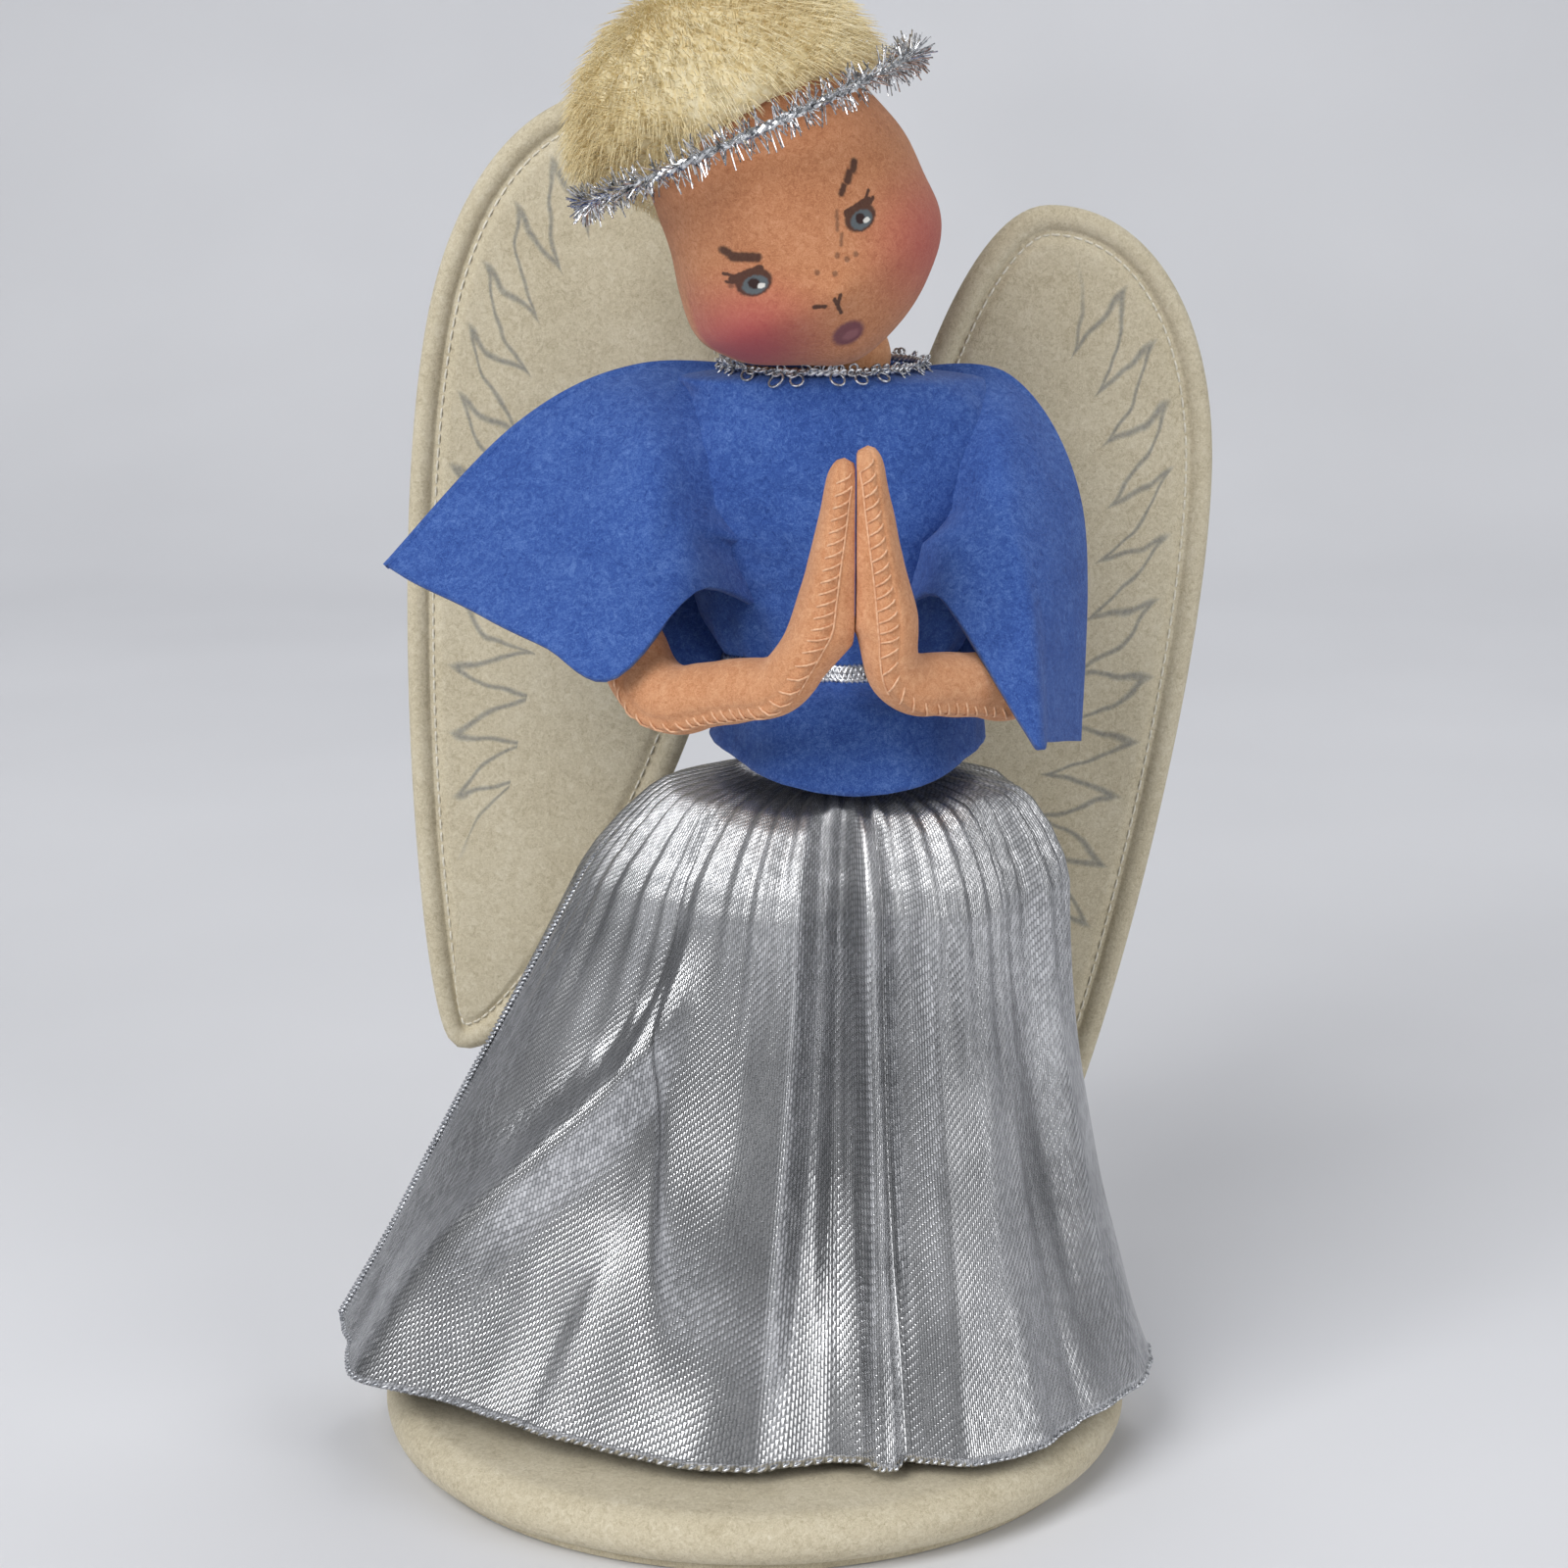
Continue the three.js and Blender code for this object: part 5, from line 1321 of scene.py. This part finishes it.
def makeHair():
    plush = plushPaint()
    bm = bmesh.new()
    wrapGrid(bm, hairFacts["columns"], 60, hairPoint)
    bmesh.ops.recalc_face_normals(bm, faces=bm.faces)
    faces = list(bm.faces)
    rng = random.Random(11)
    paths = []
    crown = headPlace @ Vector((0, 6, headLow + headFacts["height"]))
    for face in rng.choices(faces, [face.calc_area() for face in faces], k=hairFacts["strands"]):
        corners = [vert.co / unit for vert in face.verts]
        weights = [rng.random() + 0.01 for _ in corners]
        root = sum((corner * w for corner, w in zip(corners, weights)), Vector()) / sum(weights)
        up = (root - headAt).normalized()
        away = root - crown
        away -= up * away.dot(up)
        away = away.normalized() * smoothStep(away.length, 0, 6)
        mess = Vector((rng.uniform(-1, 1), rng.uniform(-1, 1), rng.uniform(-1, 1))) * 0.45
        above = aboveHalo(root)
        flat = 0.55 + 0.45 * bell(above, 0, 4)  # pressed down under the halo
        aim = (up * (1 - flat * 0.55) + away * flat + mess).normalized()
        long = rng.uniform(*hairFacts["length"]) * (1 - 0.45 * bell(above, 0, 3.5))
        long *= between(0.35, 1, smoothStep(above, -5, 1))
        bend = (aim * 0.45 + away * 0.75 - up * 0.1).normalized()
        knee = root + aim * long * 0.5
        paths.append([root - up * 0.8, knee, knee + bend * long * 0.5])
    addThreads(bm, paths, hairFacts["thread"], 0, taper=[1.2, 0.9, 0.15])
    hair = meshPiece("hairPlush", bm, plush, turnOut=False)
    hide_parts("hair")
    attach(hair, "head")


def makeHalo():
    bm = bmesh.new()
    rng = random.Random(23)
    facts, far = haloFacts, haloFacts["radius"]

    def spot(angle):
        return haloAt + haloAcross * far * math.cos(angle) + Vector((0, far * math.sin(angle), 0))

    def beside(angle, out, up):
        return spot(angle) + (spot(angle) - haloAt).normalized() * out + haloUp * up

    twistedCords(bm, facts, beside)  # the wires that hold the foil
    strands = []
    for _ in range(facts["strands"]):
        angle = rng.uniform(0, circle)
        out = (spot(angle) - haloAt).normalized()
        along = out.cross(haloUp)
        lean = rng.uniform(0, circle)
        aim = out * math.cos(lean) + haloUp * math.sin(lean) + along * rng.uniform(-0.45, 0.45)
        long = rng.uniform(*facts["reach"]) * (0.75 if math.cos(lean) < -0.2 else 1)
        strands.append([spot(angle) + aim * 0.3, spot(angle) + aim.normalized() * long])
    addThreads(bm, strands, facts["thread"], 0, taper=[1, 0.75])
    halo = meshPiece("haloTinsel", bm, tinselFoil, smooth=False)
    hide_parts("halo")
    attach(halo, "head")


makeHair()
makeHalo()
print("hair and halo made")

# wings

wingFacts = {
    "right": {"rise": 178, "roll": 12, "root": 19.5}, "left": {"rise": 136, "roll": 0, "root": 7.5},
    "length": 196, "outer": 34, "inner": 36, "widest": 46, "innerRise": 12, "rim": 2.4, "sweep": 10,
    "rootY": 29.68, "spine": (66, -68), "face": 1.75, "wave": 0.5, "beadShare": 0.3, "beadTurn": 0.87,
    "beadEdge": 0.92, "pitch": 2.6, "stitchIn": 1.32, "thread": 0.26, "cut": (0.068, 0.196), "area": 0.0102,
}


def wingOutline():
    half = wingFacts["length"] / 2 - wingFacts["rim"]
    outer, inner = wingFacts["outer"] - wingFacts["rim"], wingFacts["inner"] - wingFacts["rim"]
    wide, rise = wingFacts["widest"], wingFacts["innerRise"]
    fall = half + wide
    quarters = [
        ((0, half), (outer * 0.56, half), (outer, wide + (half - wide) * 0.62), (outer, wide)),
        ((outer, wide), (outer, wide - fall * 0.34), (outer * 0.2, -half), (0, -half)),
        ((0, -half), (-inner * 0.3, -half), (-inner, between(rise, -half, 0.5)), (-inner, rise)),
        ((-inner, rise), (-inner, between(rise, half, 0.3)), (-inner * 0.5, half), (0, half)),
    ]
    fine = []
    for quarter in quarters:
        a, b, c, d = (Vector(p) for p in quarter)
        fine += [a * (1 - t) ** 3 + b * 3 * t * (1 - t) ** 2 + c * 3 * t * t * (1 - t) + d * t ** 3
                 for t in (k / 100 for k in range(100))]
    return fine


class WingEdge:  # the outline from the top round and back, half way at its lowest point
    def __init__(self):
        fine = wingOutline()
        fine.append(fine[0])
        self.halves = [fine[:len(fine) // 2 + 1], fine[len(fine) // 2:]]
        self.runs = [runLengths(half) for half in self.halves]
        self.length = sum(runs[-1] for runs in self.runs)

    def at(self, u):
        k, part = divmod((u % 1) * 2, 1)
        half, runs = self.halves[int(k)], self.runs[int(k)]
        return pointAlong(half, runs, part * runs[-1])

    def along(self, u):  # millimetres round from the top
        return self.runs[0][-1] * min(u * 2, 1) + self.runs[1][-1] * max(u * 2 - 1, 0)

    def inward(self, u):
        run = (self.at(u + 0.004) - self.at(u - 0.004)).normalized()
        return Vector((run.y, -run.x))

    def spine(self, u):  # the point of the wing's long axis that the outline draws in to
        return Vector((0, between(*wingFacts["spine"], 1 - abs(1 - 2 * u))))


wingEdge = WingEdge()


def wingMatrix(side):
    facts = wingFacts[sideName[side]]
    turned = Matrix.Rotation(math.radians(-side * facts["roll"]), 4, "Y") @ Matrix.Diagonal((side, 1, 1, 1))
    edge = [turned @ Vector((p.x, 0, p.y)) for half in wingEdge.halves for p in half]
    inmost = min(edge, key=lambda p: side * p.x)
    root = Vector((figureX + side * facts["root"], wingFacts["rootY"], baseFacts["top"] + facts["rise"]))
    return (Matrix.Translation(root) @ Matrix.Rotation(math.radians(side * wingFacts["sweep"]), 4, "Z")
            @ Matrix.Translation((-inmost.x, 0, -inmost.z)) @ turned)


def wingSpread(u, depth):  # a point of the wing's plane, depth millimetres in from the rim's middle line
    at, spine = wingEdge.at(u), wingEdge.spine(u)
    reach = (spine - at).length
    near = at + wingEdge.inward(u) * depth
    far = at.lerp(spine, clampTo(depth / reach))
    tight = bell(u, 0.5, 0.05)  # the lower tip is too narrow for a long even inset
    return near.lerp(far, smoothStep(depth, between(3, 0, tight), between(14, 5, tight)))


def wingHeight(depth):
    rim, edge = wingFacts["rim"], wingFacts["beadEdge"]
    if depth < rim * edge:
        return math.sqrt(max(rim * rim - depth * depth, 0))
    bead = math.sqrt(rim * rim * (1 - edge ** 2))
    return between(bead, wingFacts["face"], smoothStep(depth, rim * 1.25, rim * 2.2))


def wingSurface(u, side, depth):
    flat = wingSpread(u, depth)
    wave = wingFacts["wave"] * bump3((flat.x, 3, flat.y), 0.03) * smoothStep(depth, 4, 14)
    return Vector((flat.x, side * wingHeight(depth) + wave, flat.y))


def wingDepth(u, v):  # from the rim's outer edge, round the bead, over the face to the spine
    rim, share, turn = wingFacts["rim"], wingFacts["beadShare"], wingFacts["beadTurn"]
    if v < share:
        return -rim * math.cos(math.pi * v / share * turn)
    start = -rim * math.cos(math.pi * turn)
    return between(start, (wingEdge.spine(u) - wingEdge.at(u)).length, ((v - share) / (1 - share)) ** 1.5)


# strokes in millimetres along the rim and in from it
featherFacts = {"pitch": 14.0, "from": 8.0, "deep": 15.0, "middle": 92, "half": (78, 86), "line": (0.1, 1.25),
                "grey": "666d73", "strength": 0.7}


def featherPaint():  # cream felt with feather strokes drawn in soft grey pencil
    felted, facts = feltFacts["cream"], featherFacts
    paint = feltBase("wingFelt", felted["sheen"])
    spot = paint.spots()
    colour, height = feltColour(paint, felted, spot)
    along, depth, _ = paint.axes(paint.spots("UV"))
    wobble = (paint.grain(spot, 70, 2) - 0.5) * 8
    along = along + wobble
    peak = abs((along / facts["pitch"]).rest() * 2 - 1)
    line = facts["from"] + peak ** 1.2 * facts["deep"] + wobble * 0.6
    drawn = paint.fade(abs(depth - line) * 0.45, *facts["line"])
    reach = paint.fade(abs(along - facts["middle"]), *facts["half"])
    patchy = paint.grain(spot, 1300, 2) * 0.7 + 0.45
    colour = paint.mix(drawn * reach * patchy * facts["strength"], colour, tint(facts["grey"]))
    paint.feed("Base Color", colour)
    paint.raised(height, 0.55, 0.55)
    return paint


def makeWings():
    feather = featherPaint()
    for side in (-1, 1):
        name = sideName[side]
        place = wingMatrix(side)
        bm = bmesh.new()
        for face in (-1, 1):
            far = 0 if face < 0 else 500  # the back's strokes lie out of reach, so it stays plain
            wrapGrid(bm, 280, 44, lambda u, v: place @ wingSurface(u, face, wingDepth(u, v)),
                     lambda u, v: (wingEdge.along(u), wingDepth(u, v) + far))
        bmesh.ops.remove_doubles(bm, verts=bm.verts, dist=2e-6)
        bmesh.ops.recalc_face_normals(bm, faces=bm.faces)
        stitches = []
        count = int(wingEdge.length / wingFacts["pitch"])
        depth = wingFacts["rim"] * wingFacts["stitchIn"]
        for face in (-1, 1):
            for i in range(count):
                ends = [(i + k) / count for k in (0.14, 0.5, 0.86)]
                stitches.append([place @ (wingSurface(u, face, depth) + Vector((0, face * lift, 0)))
                                 for u, lift in zip(ends, (-0.05, 0.3, -0.05))])
        addThreads(bm, stitches, wingFacts["thread"], 0, slot=1)
        wing = meshPiece(name + "WingFelt", bm, feather, creamThread, turnOut=False)
        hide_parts(f"{name}_wing_front", f"{name}_wing_back")
        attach(wing, f"{name}_wing")


makeWings()
print("wings made")
